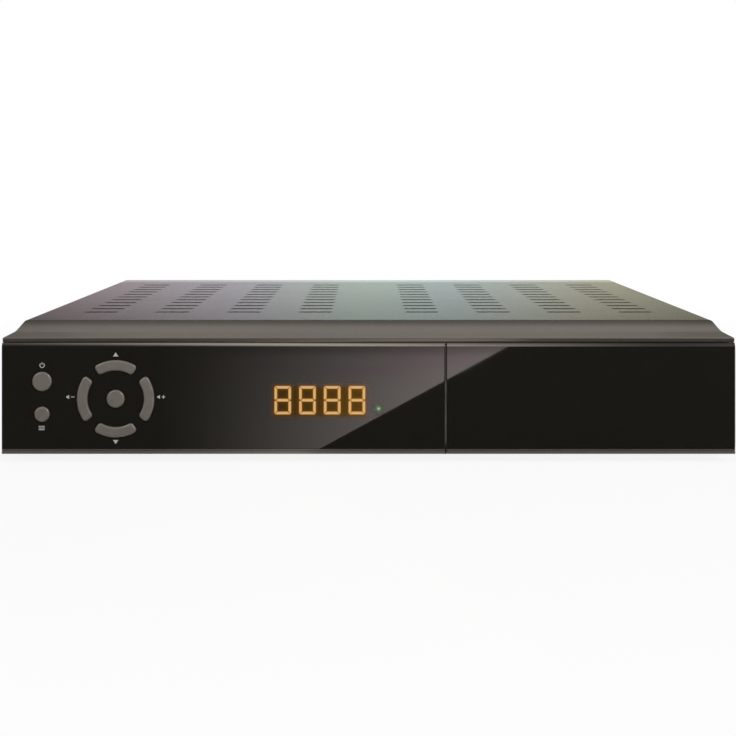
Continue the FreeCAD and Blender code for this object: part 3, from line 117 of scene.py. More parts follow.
def noise(scale, detail=3.0, stretch=(1, 1, 1)):
    return add("TexNoise", {"Vector": place(stretch), "Scale": scale, "Detail": detail}).outputs["Fac"]


def remap(value, start, end, low=0, high=1, kind="LINEAR"):
    values = {"Value": value, "From Min": start, "From Max": end, "To Min": low, "To Max": high}
    return add("MapRange", values, interpolation_type=kind).outputs["Result"]


def ease(value, start, end, low=0, high=1):
    return remap(value, start, end, low, high, "SMOOTHSTEP")


def spread(value, low=0, high=1):
    # stretches the middle of a noise between two levels
    return remap(value, 0.3, 0.7, low, high)


def vary(value, middle, share):
    return spread(value, middle * (1 - share), middle * (1 + share))


def maths(operation, first, second=0.0):
    return add("Math", {0: first, 1: second}, operation=operation).outputs[0]


minus, over, below, above, absolute = (functools.partial(maths, kind) for kind in (
    "SUBTRACT", "DIVIDE", "LESS_THAN", "GREATER_THAN", "ABSOLUTE"))


def times(*values):
    return functools.reduce(lambda first, second: maths("MULTIPLY", first, second), values)


def largest(*values):
    return functools.reduce(lambda first, second: maths("MAXIMUM", first, second), values)


def squareSum(first, second):
    return maths("ADD", times(first, first), times(second, second))


def distance(first, second):
    return maths("SQRT", squareSum(first, second))


def mixColour(factor, first, second):
    return add("Mix", {0: factor, 6: first, 7: second}, data_type="RGBA").outputs[2]


def twoTones(factor, colour, share):
    # from a little darker to a little lighter
    return mixColour(factor, shade(colour, 1 - share), shade(colour, 1 + share))


def mixValue(factor, first, second):
    return add("Mix", {0: factor, 2: first, 3: second}).outputs[0]


def mixShader(factor, first, second):
    return add("MixShader", {0: factor, 1: first.outputs[0], 2: second.outputs[0]})


def bump(height, depth, **edges):
    return add("Bump", {"Height": height, "Distance": depth, "Strength": 1.0, **edges}).outputs["Normal"]


def softEdges(radius):
    # rounds sharp edges in the shading
    return add("Bevel", {"Radius": radius}, samples=4).outputs["Normal"]


# what a plain finish has where its own look says nothing
plainLook = {
    "cloud": 60, "grain": 1500, "stretch": (1, 1, 1), "metal": 0.0, "bump": 0.01, "edge": 0.15,
    "toneShare": 0.14, "roughShare": 0.15}


def plainFinish(name, look):
    # two close tones, uneven gloss and a fine grain
    look = plainLook | look
    material, surface = newMaterial(name)
    cloudy = noise(look["cloud"], 4, look["stretch"])
    grain = noise(look["grain"], 2, look["stretch"])
    feed(surface, {
        "Base Color": twoTones(spread(cloudy), tone(*look["colour"]), look["toneShare"]),
        "Roughness": vary(grain, look["rough"], look["roughShare"]), "Metallic": look["metal"],
        "Normal": bump(grain, look["bump"] * mm, Normal=softEdges(look["edge"] * mm))})
    return material


# painted cover: metallic lacquer with very fine flakes and a little orange peel, with painted shade towards
# the crown and on the lip face
coverPaint = {
    "colour": tone(117, 110, 102), "flake": tone(160, 152, 143), "flakeScale": 5200, "flakeShare": 0.3,
    "rough": 0.24, "metal": 0.6, "coat": 0.5, "coatRough": 0.07, "coatBack": 1.0, "coatFrom": 20 * mm,
    "coatTo": 12 * mm, "peel": 240, "peelDepth": 0.00025 * mm, "edge": 0.2 * mm,
    "crown": (panelTop + 6.0 * mm, panelTop + 9.3 * mm), "crownPaintedShade": 0.39, "flatFrom": 0.98,
    "lipTop": panelTop + 2.45 * mm, "lipFade": 0.7 * mm, "lipPaintedShade": 0.53, "patches": (9, 2),
    "patchShare": 0.04, "streaks": (14, 3, (1, 6, 1)), "streakShare": 0.03, "flakeLit": (0.7, 1.0)}


def makeCoverPaint():
    look = coverPaint
    material, surface = newMaterial("coverLacquer")
    flakes = add("TexVoronoi", {"Vector": place(), "Scale": look["flakeScale"]})
    sparkle = add("SeparateColor", {0: flakes.outputs["Color"]}).outputs[0]
    base = twoTones(spread(noise(*look["patches"])), look["colour"], look["patchShare"])
    flecked = mixColour(remap(sparkle, *look["flakeLit"], 0, look["flakeShare"]), base, look["flake"])
    x, y, z = axes()
    upward = add("SeparateXYZ", {0: add("NewGeometry").outputs["Normal"]}).outputs["Z"]
    # painted shade: the sloped faces grow darker towards the crown, standing in for the dark line where the
    # bevel meets the top
    crown = times(ease(z, *look["crown"]), below(upward, look["flatFrom"]))
    # painted shade: the narrow lip face under the bevel is darkened
    lip = ease(z, look["lipTop"], look["lipTop"] - look["lipFade"])
    crownShaded = mixColour(crown, flecked, shade(look["colour"], look["crownPaintedShade"]))
    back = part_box("top_cover")[1].y
    coat = ease(y, back - look["coatFrom"], back - look["coatTo"], look["coat"], look["coatBack"])
    feed(surface, {
        "Base Color": mixColour(lip, crownShaded, shade(look["colour"], look["lipPaintedShade"])),
        "Roughness": vary(noise(*look["streaks"]), look["rough"], look["streakShare"]),
        "Metallic": look["metal"], "Coat Weight": coat, "Coat Roughness": look["coatRough"],
        "Normal": bump(noise(look["peel"], 2), look["peelDepth"], Normal=softEdges(look["edge"]))})
    return material


# front plastic: gloss black, with a silver chamfer along the top that carries a painted highlight, and a grey
# strip along the bottom with a painted highlight on its lower rim
frontPlastic = {
    "black": tone(29, 28, 24), "rough": 0.03, "wave": 0.0006 * mm, "edge": 0.12 * mm,
    "strip": tone(106, 101, 96), "stripRough": 0.38, "stripMetal": 0.4, "stripTop": 6.15 * mm,
    "rimTop": 4.85 * mm, "rimPaintedHighlight": 1.1, "silver": tone(178, 169, 158), "silverRough": 0.36,
    "silverMetal": 0.35, "silverGloss": 0.2, "paintedHighlightLeft": 25 * mm, "paintedHighlightReach": 175 * mm,
    "silverPaintedHighlight": (0.88, 0.055), "silverLow": panelTop - 1.6 * mm, "silverBack": frontY + 1.8 * mm,
    "paintedHighlightCrest": (-150 * mm, 60 * mm, panelTop - 0.25 * mm, panelTop - 1.2 * mm),
    "paintedHighlightAbove": (0.1 * mm, 0.9 * mm, 1.0, 0.5), "paintedHighlightBelow": (-0.1 * mm, -1.1 * mm, 1.0, 0.12),
    "smudge": (35, 4), "speck": (2200, 2), "ripple": (90, 1), "blackShare": 0.07, "stripShare": 0.15,
    "silverShare": 0.08, "smudgeShare": 0.3, "roundLeft": seamLeft - 0.75 * mm,
    "roundRight": seamLeft + 0.1 * mm, "roundEdge": 0.6 * mm}


def frontLayers(surface):
    look = frontPlastic
    x, y, z = axes()
    smudge, speck = noise(*look["smudge"]), noise(*look["speck"])
    inStrip = below(z, look["stripTop"])
    inChamfer = times(above(z, look["silverLow"]), below(y, look["silverBack"]))
    # painted highlight: the silver is brightest a little left of the middle, fades towards both ends, and
    # fades above and below a slanting brightest row
    away = ease(absolute(maths("ADD", x, look["paintedHighlightLeft"])), 0, look["paintedHighlightReach"])
    off = minus(z, ease(x, *look["paintedHighlightCrest"]))
    level = times(remap(away, 0, 1, *look["silverPaintedHighlight"]), ease(off, *look["paintedHighlightAbove"]),
                  ease(off, *look["paintedHighlightBelow"]))
    silver = mixColour(level, black, twoTones(speck, look["silver"], look["silverShare"]))
    # painted highlight: the lowest band of the grey strip is made lighter
    grey = mixColour(below(z, look["rimTop"]), twoTones(speck, look["strip"], look["stripShare"]),
                     shade(look["strip"], look["rimPaintedHighlight"]))
    lower = mixColour(inStrip, twoTones(smudge, look["black"], look["blackShare"]), grey)
    rough = mixValue(inStrip, vary(smudge, look["rough"], look["smudgeShare"]), look["stripRough"])
    metal = mixValue(inChamfer, times(inStrip, look["stripMetal"]), look["silverMetal"])
    rounded = times(above(x, look["roundLeft"]), below(x, look["roundRight"]))
    edges = softEdges(mixValue(rounded, look["edge"], look["roundEdge"]))
    feed(surface, {
        "Base Color": mixColour(inChamfer, lower, silver), "Metallic": metal,
        "Roughness": mixValue(inChamfer, rough, look["silverRough"]),
        "Specular IOR Level": mixValue(inChamfer, 0.5, look["silverGloss"]),
        "Normal": bump(noise(*look["ripple"]), look["wave"], Normal=edges)})


# four seven-segment digits behind the window, with a painted glow for the light that the smoked plastic
# spreads
digitLook = {
    "count": 4, "pitch": 11.52 * mm, "width": 7.92 * mm, "height": 13.35 * mm, "bar": 1.43 * mm,
    "gap": 0.13 * mm, "corner": 0.5 * mm, "rise": 0.2 * mm, "crown": 0.3 * mm, "hazeReach": 0.75 * mm,
    "hazeMargin": 4.4 * mm, "hazeRise": 3.4 * mm, "hazeStep": 0.45 * mm, "middle": tone(255, 216, 156),
    "rim": tone(214, 142, 60), "haze": tone(136, 84, 10), "dark": (0.0256, 0.0244, 0.0198, 1),
    "strength": 1.75, "left": 0.08 * mm, "seat": 0.03 * mm, "hazeSeat": 0.012 * mm}
digitLow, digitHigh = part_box("digit_segments")
digitCentre = (digitLow + digitHigh) / 2 - Vector((digitLook["left"], 0, 0))
ledLow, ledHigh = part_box("status_led")
ledCentre = (ledLow + ledHigh) / 2
windowGlass = {
    "tint": (0.62, 0.6, 0.57, 1.0), "edge": 3.6 * mm, "rise": 2.3 * mm, "fade": 0.9 * mm,
    "amberEdge": 1.7 * mm, "amberFade": 2.8 * mm, "ledReach": 3.2 * mm, "ior": 1.5,
    "paintedAmberGlow": (0.9, 0.52, 0.05, 1.0), "green": (0.7, 0.96, 0.76, 1.0)}


def makeWindowGlass():
    # smoked, and see-through only in front of the digits and the status light; round them its reflection is
    # tinted with their colours, a painted glow
    look = windowGlass
    material, surface = newMaterial("smokedWindow")
    frontLayers(surface)
    x, y, z = axes()
    halfWidth = ((digitLook["count"] - 1) * digitLook["pitch"] + digitLook["width"]) / 2
    halfHeight = digitLook["height"] / 2
    side, rise = absolute(minus(x, digitCentre.x)), absolute(minus(z, digitCentre.z))

    def block(wide, high, fade):
        return times(ease(side, halfWidth + wide, halfWidth + wide - fade),
                     ease(rise, halfHeight + high, halfHeight + high - fade))
    digits = block(look["edge"], look["rise"], look["fade"])
    paintedGlowMask = block(look["amberEdge"], look["amberEdge"], look["amberFade"])
    reach = distance(minus(x, ledCentre.x), minus(z, ledCentre.z))
    light = ease(reach, look["ledReach"], look["ledReach"] / 2)
    fresnel = add("Fresnel", {"IOR": look["ior"]}).outputs[0]
    inside = add("NewGeometry").outputs["Backfacing"]
    through = add("BsdfTransparent", {"Color": look["tint"]})
    glow = mixColour(light, mixColour(paintedGlowMask, white, look["paintedAmberGlow"]), look["green"])
    gloss = add("BsdfGlossy", {"Color": glow, "Roughness": frontPlastic["rough"]}, distribution="GGX")
    smoked = mixShader(times(fresnel, minus(1.0, inside)), through, gloss)
    showShader(mixShader(largest(digits, light, inside), surface, smoked))
    return material


# satin buttons
buttonPaint = {
    "colour": tone(128, 121, 113), "fleck": 1.6, "fleckShare": 0.3, "rough": 0.32, "metal": 0.35,
    "edge": 0.8 * mm, "grain": 0.003 * mm}


def makeButtonPaint():
    look = buttonPaint
    material, surface = newMaterial("satinButtonPaint")
    flakes = noise(3600, 2)
    base = twoTones(spread(noise(300, 3)), look["colour"], 0.07)
    flecks = remap(flakes, 0.55, 0.8, 0, look["fleckShare"])
    feed(surface, {
        "Base Color": mixColour(flecks, base, shade(look["colour"], look["fleck"])),
        "Roughness": vary(flakes, look["rough"], 0.1), "Metallic": look["metal"],
        "Normal": bump(flakes, look["grain"], Normal=softEdges(look["edge"]))})
    return material


# lit pieces: the attribute "glow" runs from 0 at the rim to 1 in the middle
glowGrain = (1800, 2)


def glowLevel():
    glow = add("Attribute", attribute_name="glow").outputs["Fac"]
    return times(glow, vary(noise(*glowGrain), 1, 0.05))


def glowFinish(name, rim, middle, strength, gloss=0.5):
    material, surface = newMaterial(name)
    feed(surface, {
        "Base Color": black, "Emission Color": mixColour(glowLevel(), rim, middle),
        "Emission Strength": strength, "Specular IOR Level": gloss,
        "Roughness": spread(noise(*glowGrain), 0.35, 0.5)})
    return material


ledLook = {
    "core": 0.5 * mm, "halo": 1.5 * mm, "coreTone": tone(205, 245, 205), "rimTone": tone(60, 110, 70),
    "body": tone(40, 60, 40), "strength": 2.0, "haze": 3.0 * mm, "hazeTone": tone(96, 200, 120),
    "hazeCore": tone(226, 238, 214), "hazeStrength": 1.95, "hazeSeat": 0.02 * mm, "steps": 18,
    "sides": 32}


def makeLedLens():
    look = ledLook
    material, surface = newMaterial("greenLens")
    x, y, z = axes()
    reach = distance(minus(x, ledCentre.x), minus(z, ledCentre.z))
    level = ease(reach, look["core"] * 1.9, look["core"] * 0.2)
    feed(surface, {
        "Base Color": look["body"], "Roughness": spread(noise(900, 2), 0.1, 0.25),
        "Emission Color": mixColour(level, look["rimTone"], look["coreTone"]),
        "Emission Strength": look["strength"]})
    return material


# finishes of the inside and the rear, by material slot
insideFinishes = {
    "pan_steel": dict(colour=(168, 170, 168), rough=0.3, metal=0.9, cloud=120, grain=700),
    "rear_paint": dict(colour=(42, 42, 41), rough=0.5, metal=0.1, grain=900, bump=0.07),
    "foot_rubber": dict(colour=(30, 30, 30), rough=0.75, grain=1800, bump=0.03),
    "screw_black": dict(colour=(62, 62, 64), rough=0.3, metal=0.85),
    "pin_steel": dict(colour=(180, 180, 182), rough=0.25, metal=1.0, stretch=(0.1, 1, 1)),
    "magnet_ferrite": dict(colour=(52, 50, 50), rough=0.7, grain=2500, bump=0.02),
    "strike_steel": dict(colour=(170, 170, 170), rough=0.3, metal=1.0, stretch=(0.1, 1, 1)),
    "bay_plastic": dict(colour=(38, 38, 37), rough=0.55, grain=1600, bump=0.025),
    "guide_plastic": dict(colour=(215, 214, 205), rough=0.5, grain=900),
    "switch_black": dict(colour=(38, 38, 38), rough=0.45, grain=2000),
    "screw_zinc": dict(colour=(186, 184, 176), rough=0.28, metal=0.95),
    "module_black": dict(colour=(24, 22, 20), rough=0.4, grain=1800),
    "infrared_black": dict(colour=(32, 24, 30), rough=0.12, grain=600),
    "ribbon_grey": dict(colour=(168, 168, 166), rough=0.5, grain=800, stretch=(9, 1, 1)),
    "cage_plastic": dict(colour=(52, 52, 54), rough=0.5, grain=1500, bump=0.02),
    "eject_plastic": dict(colour=(92, 92, 90), rough=0.45, grain=1700, bump=0.015),
    "reader_black": dict(colour=(42, 42, 42), rough=0.48, grain=1700),
    "spacer_brass": dict(colour=(206, 172, 96), rough=0.3, metal=1.0),
    "standoff_steel": dict(colour=(182, 182, 178), rough=0.32, metal=0.95),
    "chip_black": dict(colour=(40, 40, 41), rough=0.6, grain=2600, bump=0.015),
    "sink_aluminium": dict(colour=(176, 178, 182), rough=0.38, metal=0.95, stretch=(1, 0.15, 1)),
    "capacitor_sleeve": dict(colour=(34, 42, 84), rough=0.35, grain=700),
    "tin_plate": dict(colour=(192, 192, 188), rough=0.26, metal=1.0, cloud=200, grain=500),
    "connector_nickel": dict(colour=(198, 194, 184), rough=0.2, metal=1.0),
    "socket_black": dict(colour=(32, 32, 32), rough=0.42, grain=1800, bump=0.02),
    "jack_gold": dict(colour=(222, 184, 104), rough=0.2, metal=1.0),
    "transformer_ferrite": dict(colour=(58, 54, 52), rough=0.65, grain=1500, bump=0.04),
    "harness_white": dict(colour=(220, 219, 214), rough=0.5, grain=900, stretch=(1, 9, 1)),
    "wire_brown": dict(colour=(112, 70, 46), rough=0.42, grain=900),
    "rocker_black": dict(colour=(30, 30, 30), rough=0.2, grain=500)}
inletLook = {
    "colour": tone(34, 34, 34), "rough": 0.48, "pin": tone(196, 190, 176), "pinRough": 0.22,
    "pinReach": 1.35 * mm, "pinSpacing": 8.6 * mm, "grain": 0.02 * mm, "edge": 0.2 * mm}


def makeInletPlastic():
    # black moulding round two bare metal pins
    look = inletLook
    material, surface = newMaterial("inletPlastic")
    low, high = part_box("mains_inlet")
    middle = (low + high) / 2
    x, y, z = axes()
    away = minus(absolute(minus(x, middle.x)), look["pinSpacing"] / 2)
    pin = below(squareSum(away, minus(z, middle.z)), look["pinReach"] ** 2)
    grain = noise(1600, 2)
    feed(surface, {
        "Base Color": mixColour(pin, twoTones(grain, look["colour"], 0.2), look["pin"]),
        "Roughness": mixValue(pin, look["rough"], look["pinRough"]), "Metallic": pin,
        "Normal": bump(grain, look["grain"], Normal=softEdges(look["edge"]))})
    return material


boardLook = {
    "track": 260, "trackWidth": 0.06, "trackDepth": 0.03 * mm, "patch": 55,
    "green": (tone(30, 92, 56), tone(58, 132, 82)), "tan": (tone(176, 146, 96), tone(150, 112, 60))}


def boardFinish(name, mask, copper):
    # solder mask with lines of track under it
    look = boardLook
    material, surface = newMaterial(name)
    cells = add("TexBrick", {"Vector": place(), "Scale": look["track"], "Mortar Size": look["trackWidth"],
                             "Color1": black, "Color2": black, "Mortar": white})
    patches = remap(noise(look["patch"], 1), 0.48, 0.52)
    tracks = times(add("RGBToBW", {0: cells.outputs["Color"]}).outputs[0], patches)
    feed(surface, {
        "Base Color": mixColour(tracks, mask, copper), "Roughness": spread(noise(400), 0.28, 0.42),
        "Normal": bump(tracks, look["trackDepth"])})
    return material


def makeFuseGlass():
    material, surface = newMaterial("fuseGlass")
    pale = mixColour(noise(300), tone(214, 224, 224), tone(232, 238, 236))
    feed(surface, {
        "Base Color": pale, "Roughness": spread(noise(600), 0.03, 0.09), "Transmission Weight": 0.8})
    return material


def dressNodes():
    slotOf = {part["node"]: part["material_slot"] for part in frame["record"]["subparts"]}
    made = {slot: plainFinish(slot.replace("_", "-"), look) for slot, look in insideFinishes.items()}
    front, surface = newMaterial("glossBlackFront")
    frontLayers(surface)
    look = digitLook
    made |= {
        "cover_paint": makeCoverPaint(), "bezel_plastic": front, "flap_gloss": front,
        "window_gloss": makeWindowGlass(), "button_grey": makeButtonPaint(),
        "inlet_black": makeInletPlastic(), "board_green": boardFinish("greenBoard", *boardLook["green"]),
        "board_tan": boardFinish("tanBoard", *boardLook["tan"]), "fuse_glass": makeFuseGlass(),
        "segment_amber": glowFinish("amberSegments", look["rim"], look["middle"], look["strength"]),
        "led_green": makeLedLens()}
    for name, node in nodes.items():
        node.data.materials.clear()
        node.data.materials.append(made[slotOf[name]])
    return made


finishes = dressNodes()
print("finishes on all nodes")


def newObject(name, data):
    thing = bpy.data.objects.new(name, data)
    bpy.context.scene.collection.objects.link(thing)
    return thing


def addPiece(name, mesh, slot, finish=None, replaced=(), body="case", smooth=False, turnOut=True):
    if turnOut:
        bmesh.ops.recalc_face_normals(mesh, faces=mesh.faces)
    data = bpy.data.meshes.new(name)
    for face in mesh.faces:
        face.smooth = smooth
    mesh.to_mesh(data)
    mesh.free()
    data.materials.append(finish or finishes[slot])
    if smooth:
        data.set_sharp_from_angle(angle=radians(35))
    piece = newObject(name, data)
    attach(piece, body)
    if replaced:
        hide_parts(*replaced)


def looseBoxes(nodeName):
    # low and high corner of each separate solid in a node, from left to right
    mesh = bmesh.new()
    mesh.from_mesh(nodes[nodeName].data)
    bmesh.ops.remove_doubles(mesh, verts=mesh.verts, dist=0.005 * mm)
    seen, boxes = set(), []
    for start in mesh.verts:
        if start in seen:
            continue
        seen.add(start)
        group = [start]
        for vert in group:
            for edge in vert.link_edges:
                other = edge.other_vert(vert)
                if other not in seen:
                    seen.add(other)
                    group.append(other)
        boxes.append([Vector([pick(vert.co[axis] for vert in group) for axis in range(3)])
                      for pick in (min, max)])
    mesh.free()
    return sorted(boxes, key=lambda pair: (round(pair[0].x, 4), round(pair[0].y, 4), pair[0].z))


def skin(mesh, loops):
    # faces between closed rows of points
    for first, second in zip(loops, loops[1:]):
        for index in range(len(first)):
            after = (index + 1) % len(first)
            mesh.faces.new((first[index], first[after], second[after], second[index]))


def plate(mesh, near, far):
    # a closed solid between two matching outlines
    near, far = ([mesh.verts.new(point) for point in outline] for outline in (near, far))
    mesh.faces.new(near)
    mesh.faces.new(far[::-1])
    skin(mesh, [near[::-1], far[::-1]])


def prism(mesh, outline, front, back):
    # flat shape in X and Z, between two depths
    plate(mesh, [(x, front, z) for x, z in outline], [(x, back, z) for x, z in outline])


def turned(mesh, centre, rings, sides, hexes=(), wave=None):
    # rings of (radius, y) round a line along Y; a hex ring has flats, and a wave changes the radius
    loops = []
    for number, (radius, y) in enumerate(rings):
        loop = []
        for index in range(sides):
            turn = tau * index / sides
            reach = radius
            if number in hexes:
                reach = radius / cos((turn % (pi / 3)) - pi / 6)
            if wave is not None:
                reach += wave(turn, y)
            point = (centre.x + reach * cos(turn), y, centre.z + reach * sin(turn))
            loop.append(mesh.verts.new(point))
        loops.append(loop)
    skin(mesh, loops)
    return loops


def barShapes(middleX, middleZ):
    # outlines of the seven bars of one digit, mitred where they meet
    look = digitLook
    w, h, b, gap, cut = look["width"] / 2, look["height"] / 2, look["bar"], look["gap"], look["corner"]
    shapes = []
    for side in (-1, 1):
        level = [(-w + cut + gap, h), (w - cut - gap, h), (w - cut / 2 - gap, h - cut / 2),
                 (w - b - gap, h - b), (-w + b + gap, h - b), (-w + cut / 2 + gap, h - cut / 2)]
        shapes.append([(middleX + u, middleZ + side * v) for u, v in level])
        for half in (-1, 1):
            upright = [(w, h - cut - gap), (w, b * 0.35), (w - b / 2, gap), (w - b, b / 2 + gap),
                       (w - b, h - b - gap), (w - cut / 2, h - cut / 2 - gap)]
            shapes.append([(middleX + side * u, middleZ + half * v) for u, v in upright])
    centre = [(-w + b / 2 + gap, 0), (-w + b + gap, -b / 2), (w - b - gap, -b / 2), (w - b / 2 - gap, 0),
              (w - b - gap, b / 2), (-w + b + gap, b / 2)]
    shapes.append([(middleX + u, middleZ + v) for u, v in centre])
    return shapes


def distanceTo(point, outline):
    # how far a point lies outside a shape, 0 inside it
    x, z = point
    inside, nearest = False, 1.0
    for (ax, az), (bx, bz) in zip(outline, outline[1:] + outline[:1]):
        if (az > z) != (bz > z) and x < (bx - ax) * (z - az) / (bz - az) + ax:
            inside = not inside
        length = (bx - ax) ** 2 + (bz - az) ** 2
        share = max(0, min(1, ((x - ax) * (bx - ax) + (z - az) * (bz - az)) / length))
        nearest = min(nearest, hypot(x - ax - share * (bx - ax), z - az - share * (bz - az)))
    return 0.0 if inside else nearest


def glowMesh():
    mesh = bmesh.new()
    return mesh, mesh.verts.layers.float.new("glow")


def addDigits():
    look = digitLook
    mesh, glow = glowMesh()
    back = digitHigh.y - look["seat"]
    shapes = []
    for index in range(look["count"]):
        middleX = digitCentre.x + (index - (look["count"] - 1) / 2) * look["pitch"]
        shapes += barShapes(middleX, digitCentre.z)
    for outline in shapes:
        midX, midZ = (sum(row) / len(row) for row in zip(*outline))
        upright = max(z for x, z in outline) - min(z for x, z in outline) > look["bar"] * 1.5
        rings = []
        for level, inset in ((0.0, 0.0), (0.75, look["crown"]), (1.0, look["crown"] * 1.5)):
            ring = []
            for x, z in outline:
                du, dv = x - midX, z - midZ
                along, across = (dv, du) if upright else (du, dv)
                along = copysign(max(0, abs(along) - inset * 0.8), along)
                across *= 1 - inset / (look["bar"] / 2)
                du, dv = (across, along) if upright else (along, across)
                vert = mesh.verts.new((midX + du, back - level * look["rise"], midZ + dv))
                vert[glow] = level
                ring.append(vert)
            rings.append(ring)
        skin(mesh, rings)
        mesh.faces.new(rings[-1])
    addPiece("digitBars", mesh, "segment_amber", replaced=["digit_segments"])
    return shapes


def addDigitHaze(shapes):
    # a plate behind the bars that glows less the farther it is from them: a painted glow, whose far level
    # stands in for the lit plastic round the digits
    look = digitLook
    mesh, glow = glowMesh()
    left, right = digitLow.x - look["hazeMargin"], ledHigh.x + look["hazeMargin"] / 2
    wide, high = right - left, look["height"] + 2 * look["hazeRise"]
    columns, rows = round(wide / look["hazeStep"]), round(high / look["hazeStep"])
    grid = []
    for row in range(rows + 1):
        line = []
        for column in range(columns + 1):
            x = left + wide * column / columns
            z = digitCentre.z - high / 2 + high * row / rows
            near = [shape for shape in shapes if abs(shape[0][0] - x) < look["width"] * 1.5]
            reach = min([distanceTo((x, z), outline) for outline in near] or [1.0])
            vert = mesh.verts.new((x, digitHigh.y - look["hazeSeat"], z))
            vert[glow] = exp(-reach / look["hazeReach"])
            line.append(vert)
        grid.append(line)
    for lower, upper in zip(grid, grid[1:]):
        for column in range(columns):
            mesh.faces.new((lower[column], lower[column + 1], upper[column + 1], upper[column]))
    finish = glowFinish("amberHaze", look["dark"], look["haze"], 1.0, 0.0)
    addPiece("digitHaze", mesh, "segment_amber", finish, turnOut=False)


addDigitHaze(addDigits())
print("digits")


def addStatusHaze():
    look = ledLook
    mesh, glow = glowMesh()
    back = ledLow.y - look["hazeSeat"]
    rings = [(look["haze"] * (1 - step / look["steps"]), back) for step in range(look["steps"])]
    loops = turned(mesh, ledCentre, rings, look["sides"])
    for (reach, back), loop in zip(rings, loops):
        for vert in loop:
            vert[glow] = (0.8 * exp(-(reach / look["core"]) ** 2)
                          + 0.2 * exp(-(reach / look["halo"]) ** 2))
    tip = mesh.verts.new((ledCentre.x, back, ledCentre.z))
    tip[glow] = 1.0
    for index in range(look["sides"]):
        mesh.faces.new((loops[-1][index], loops[-1][(index + 1) % look["sides"]], tip))
    finish, surface = newMaterial("greenHaze")
    level = glowLevel()
    # painted glow: a disc that glows round the status light, whose rim level stands in for the lit plastic
    # round it
    outer = mixColour(level, shade(digitLook["dark"], 1 / look["hazeStrength"]), look["hazeTone"])
    feed(surface, {
        "Base Color": black, "Roughness": remap(level, 0, 1, 0.5, 0.35),
        "Emission Color": mixColour(maths("POWER", level, 1.6), outer, look["hazeCore"]),
        "Emission Strength": look["hazeStrength"], "Specular IOR Level": 0.0})
    addPiece("statusHaze", mesh, "led_green", finish, turnOut=False)


addStatusHaze()
print("status light")


# a pale seal behind the gap between the window and the flap: its pale tone is painted light in the gap, and
# it is darker at its foot and head with painted shade
sealLook = {
    "front": 1.15 * mm, "back": 2.75 * mm, "low": -0.35 * mm, "high": 1.2 * mm, "roundWide": 0.2 * mm,
    "roundDeep": 0.15 * mm, "left": seamLeft + 0.02 * mm, "right": seamRight - 0.08 * mm,
    "finish": {"colour": (146, 142, 137), "rough": 0.6, "grain": 2400, "bump": 0.03},
    "footTop": 6.5 * mm, "footFade": 4 * mm, "footPaintedShade": 0.2, "headLow": panelTop - 19 * mm,
    "headFade": 2 * mm, "headPaintedShade": 0.5, "rows": 24}


def addSeamSeal():
    look = sealLook
    finish = plainFinish("seamSealPaintedLight", look["finish"])
    surface = finish.node_tree.nodes["Principled BSDF"]
    x, y, z = axes()
    # painted shade: darker towards the foot and towards the head of the seal
    level = times(ease(z, look["footTop"], look["footTop"] + look["footFade"], look["footPaintedShade"], 1.0),
                  ease(z, look["headLow"], look["headLow"] + look["headFade"], 1.0, look["headPaintedShade"]))
    base = surface.inputs["Base Color"].links[0].from_socket
    feed(surface, {"Base Color": mixColour(level, black, base)})
    left, right, front, wide = look["left"], look["right"], look["front"], look["roundWide"]
    crown = [(left, look["back"]), (left, front + look["roundDeep"]), (left + wide, front),
             (right - wide, front), (right, front + look["roundDeep"]), (right, look["back"])]
    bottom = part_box("front_bezel")[0].z + look["low"]
    top = panelTop - look["high"]
    mesh = bmesh.new()
    loops = []
    for row in range(look["rows"] + 1):
        z = bottom + (top - bottom) * row / look["rows"]
        loops.append([mesh.verts.new((x, frontY + depth, z)) for x, depth in crown])
    skin(mesh, loops)
    mesh.faces.new(loops[0][::-1])
    mesh.faces.new(loops[-1])
    addPiece("seamSeal", mesh, "bay_plastic", finish)


addSeamSeal()
print("seam seal")


# printed marks beside the buttons, each at its place in X and Z
printLook = {
    "ink": tone(186, 186, 181), "thick": 0.03 * mm, "sink": 0.01 * mm, "stroke": 0.34 * mm,
    "power": 1.05 * mm, "powerFrom": 128, "powerTurn": 284, "powerSteps": 28, "sign": 1.6 * mm,
    "signRight": 1.15 * mm, "arrow": 2.5 * mm, "list": 2.8 * mm, "listPitch": 0.8 * mm,
    "speaker": 1.5 * mm, "speakerLeft": 1.0 * mm, "powerAt": (-151.3, 45.1), "listAt": (-151.5, 16.0),
    "upAt": (-117.2, 50.1), "downAt": (-117.2, 9.5), "minusAt": (-138.3, 30.4), "plusAt": (-96.2, 30.4)}


def makeInk():
    material, surface = newMaterial("printedInk")
    speck = noise(2600, 3)
    ink = printLook["ink"]
    feed(surface, {
        "Base Color": mixColour(spread(speck), shade(ink, 0.85), ink),
        "Roughness": spread(speck, 0.4, 0.6)})
    return material


def inkShape(mesh, outline):
    prism(mesh, outline, frontY - printLook["thick"], frontY + printLook["sink"])


def inkBar(mesh, x, z, width, height):
    w, h = width / 2, height / 2
    inkShape(mesh, [(x - w, z - h), (x + w, z - h), (x + w, z + h), (x - w, z + h)])


def inkPower(mesh, x, z):
    look = printLook
    radius, stroke, steps = look["power"], look["stroke"], look["powerSteps"]
    angles = [radians(look["powerFrom"] + look["powerTurn"] * step / steps) for step in range(steps + 1)]
    outer, inner = ([(x + reach * cos(a), z + reach * sin(a)) for a in angles]
                    for reach in (radius + stroke / 2, radius - stroke / 2))
    for index in range(steps):
        inkShape(mesh, [outer[index], outer[index + 1], inner[index + 1], inner[index]])
    inkBar(mesh, x, z + radius * 0.75, stroke, radius * 1.15)


def inkArrow(mesh, x, z, up):
    half = printLook["arrow"] / 2
    rise = up * half * 0.75
    inkShape(mesh, [(x - half, z - rise), (x + half, z - rise), (x, z + rise)][::up])


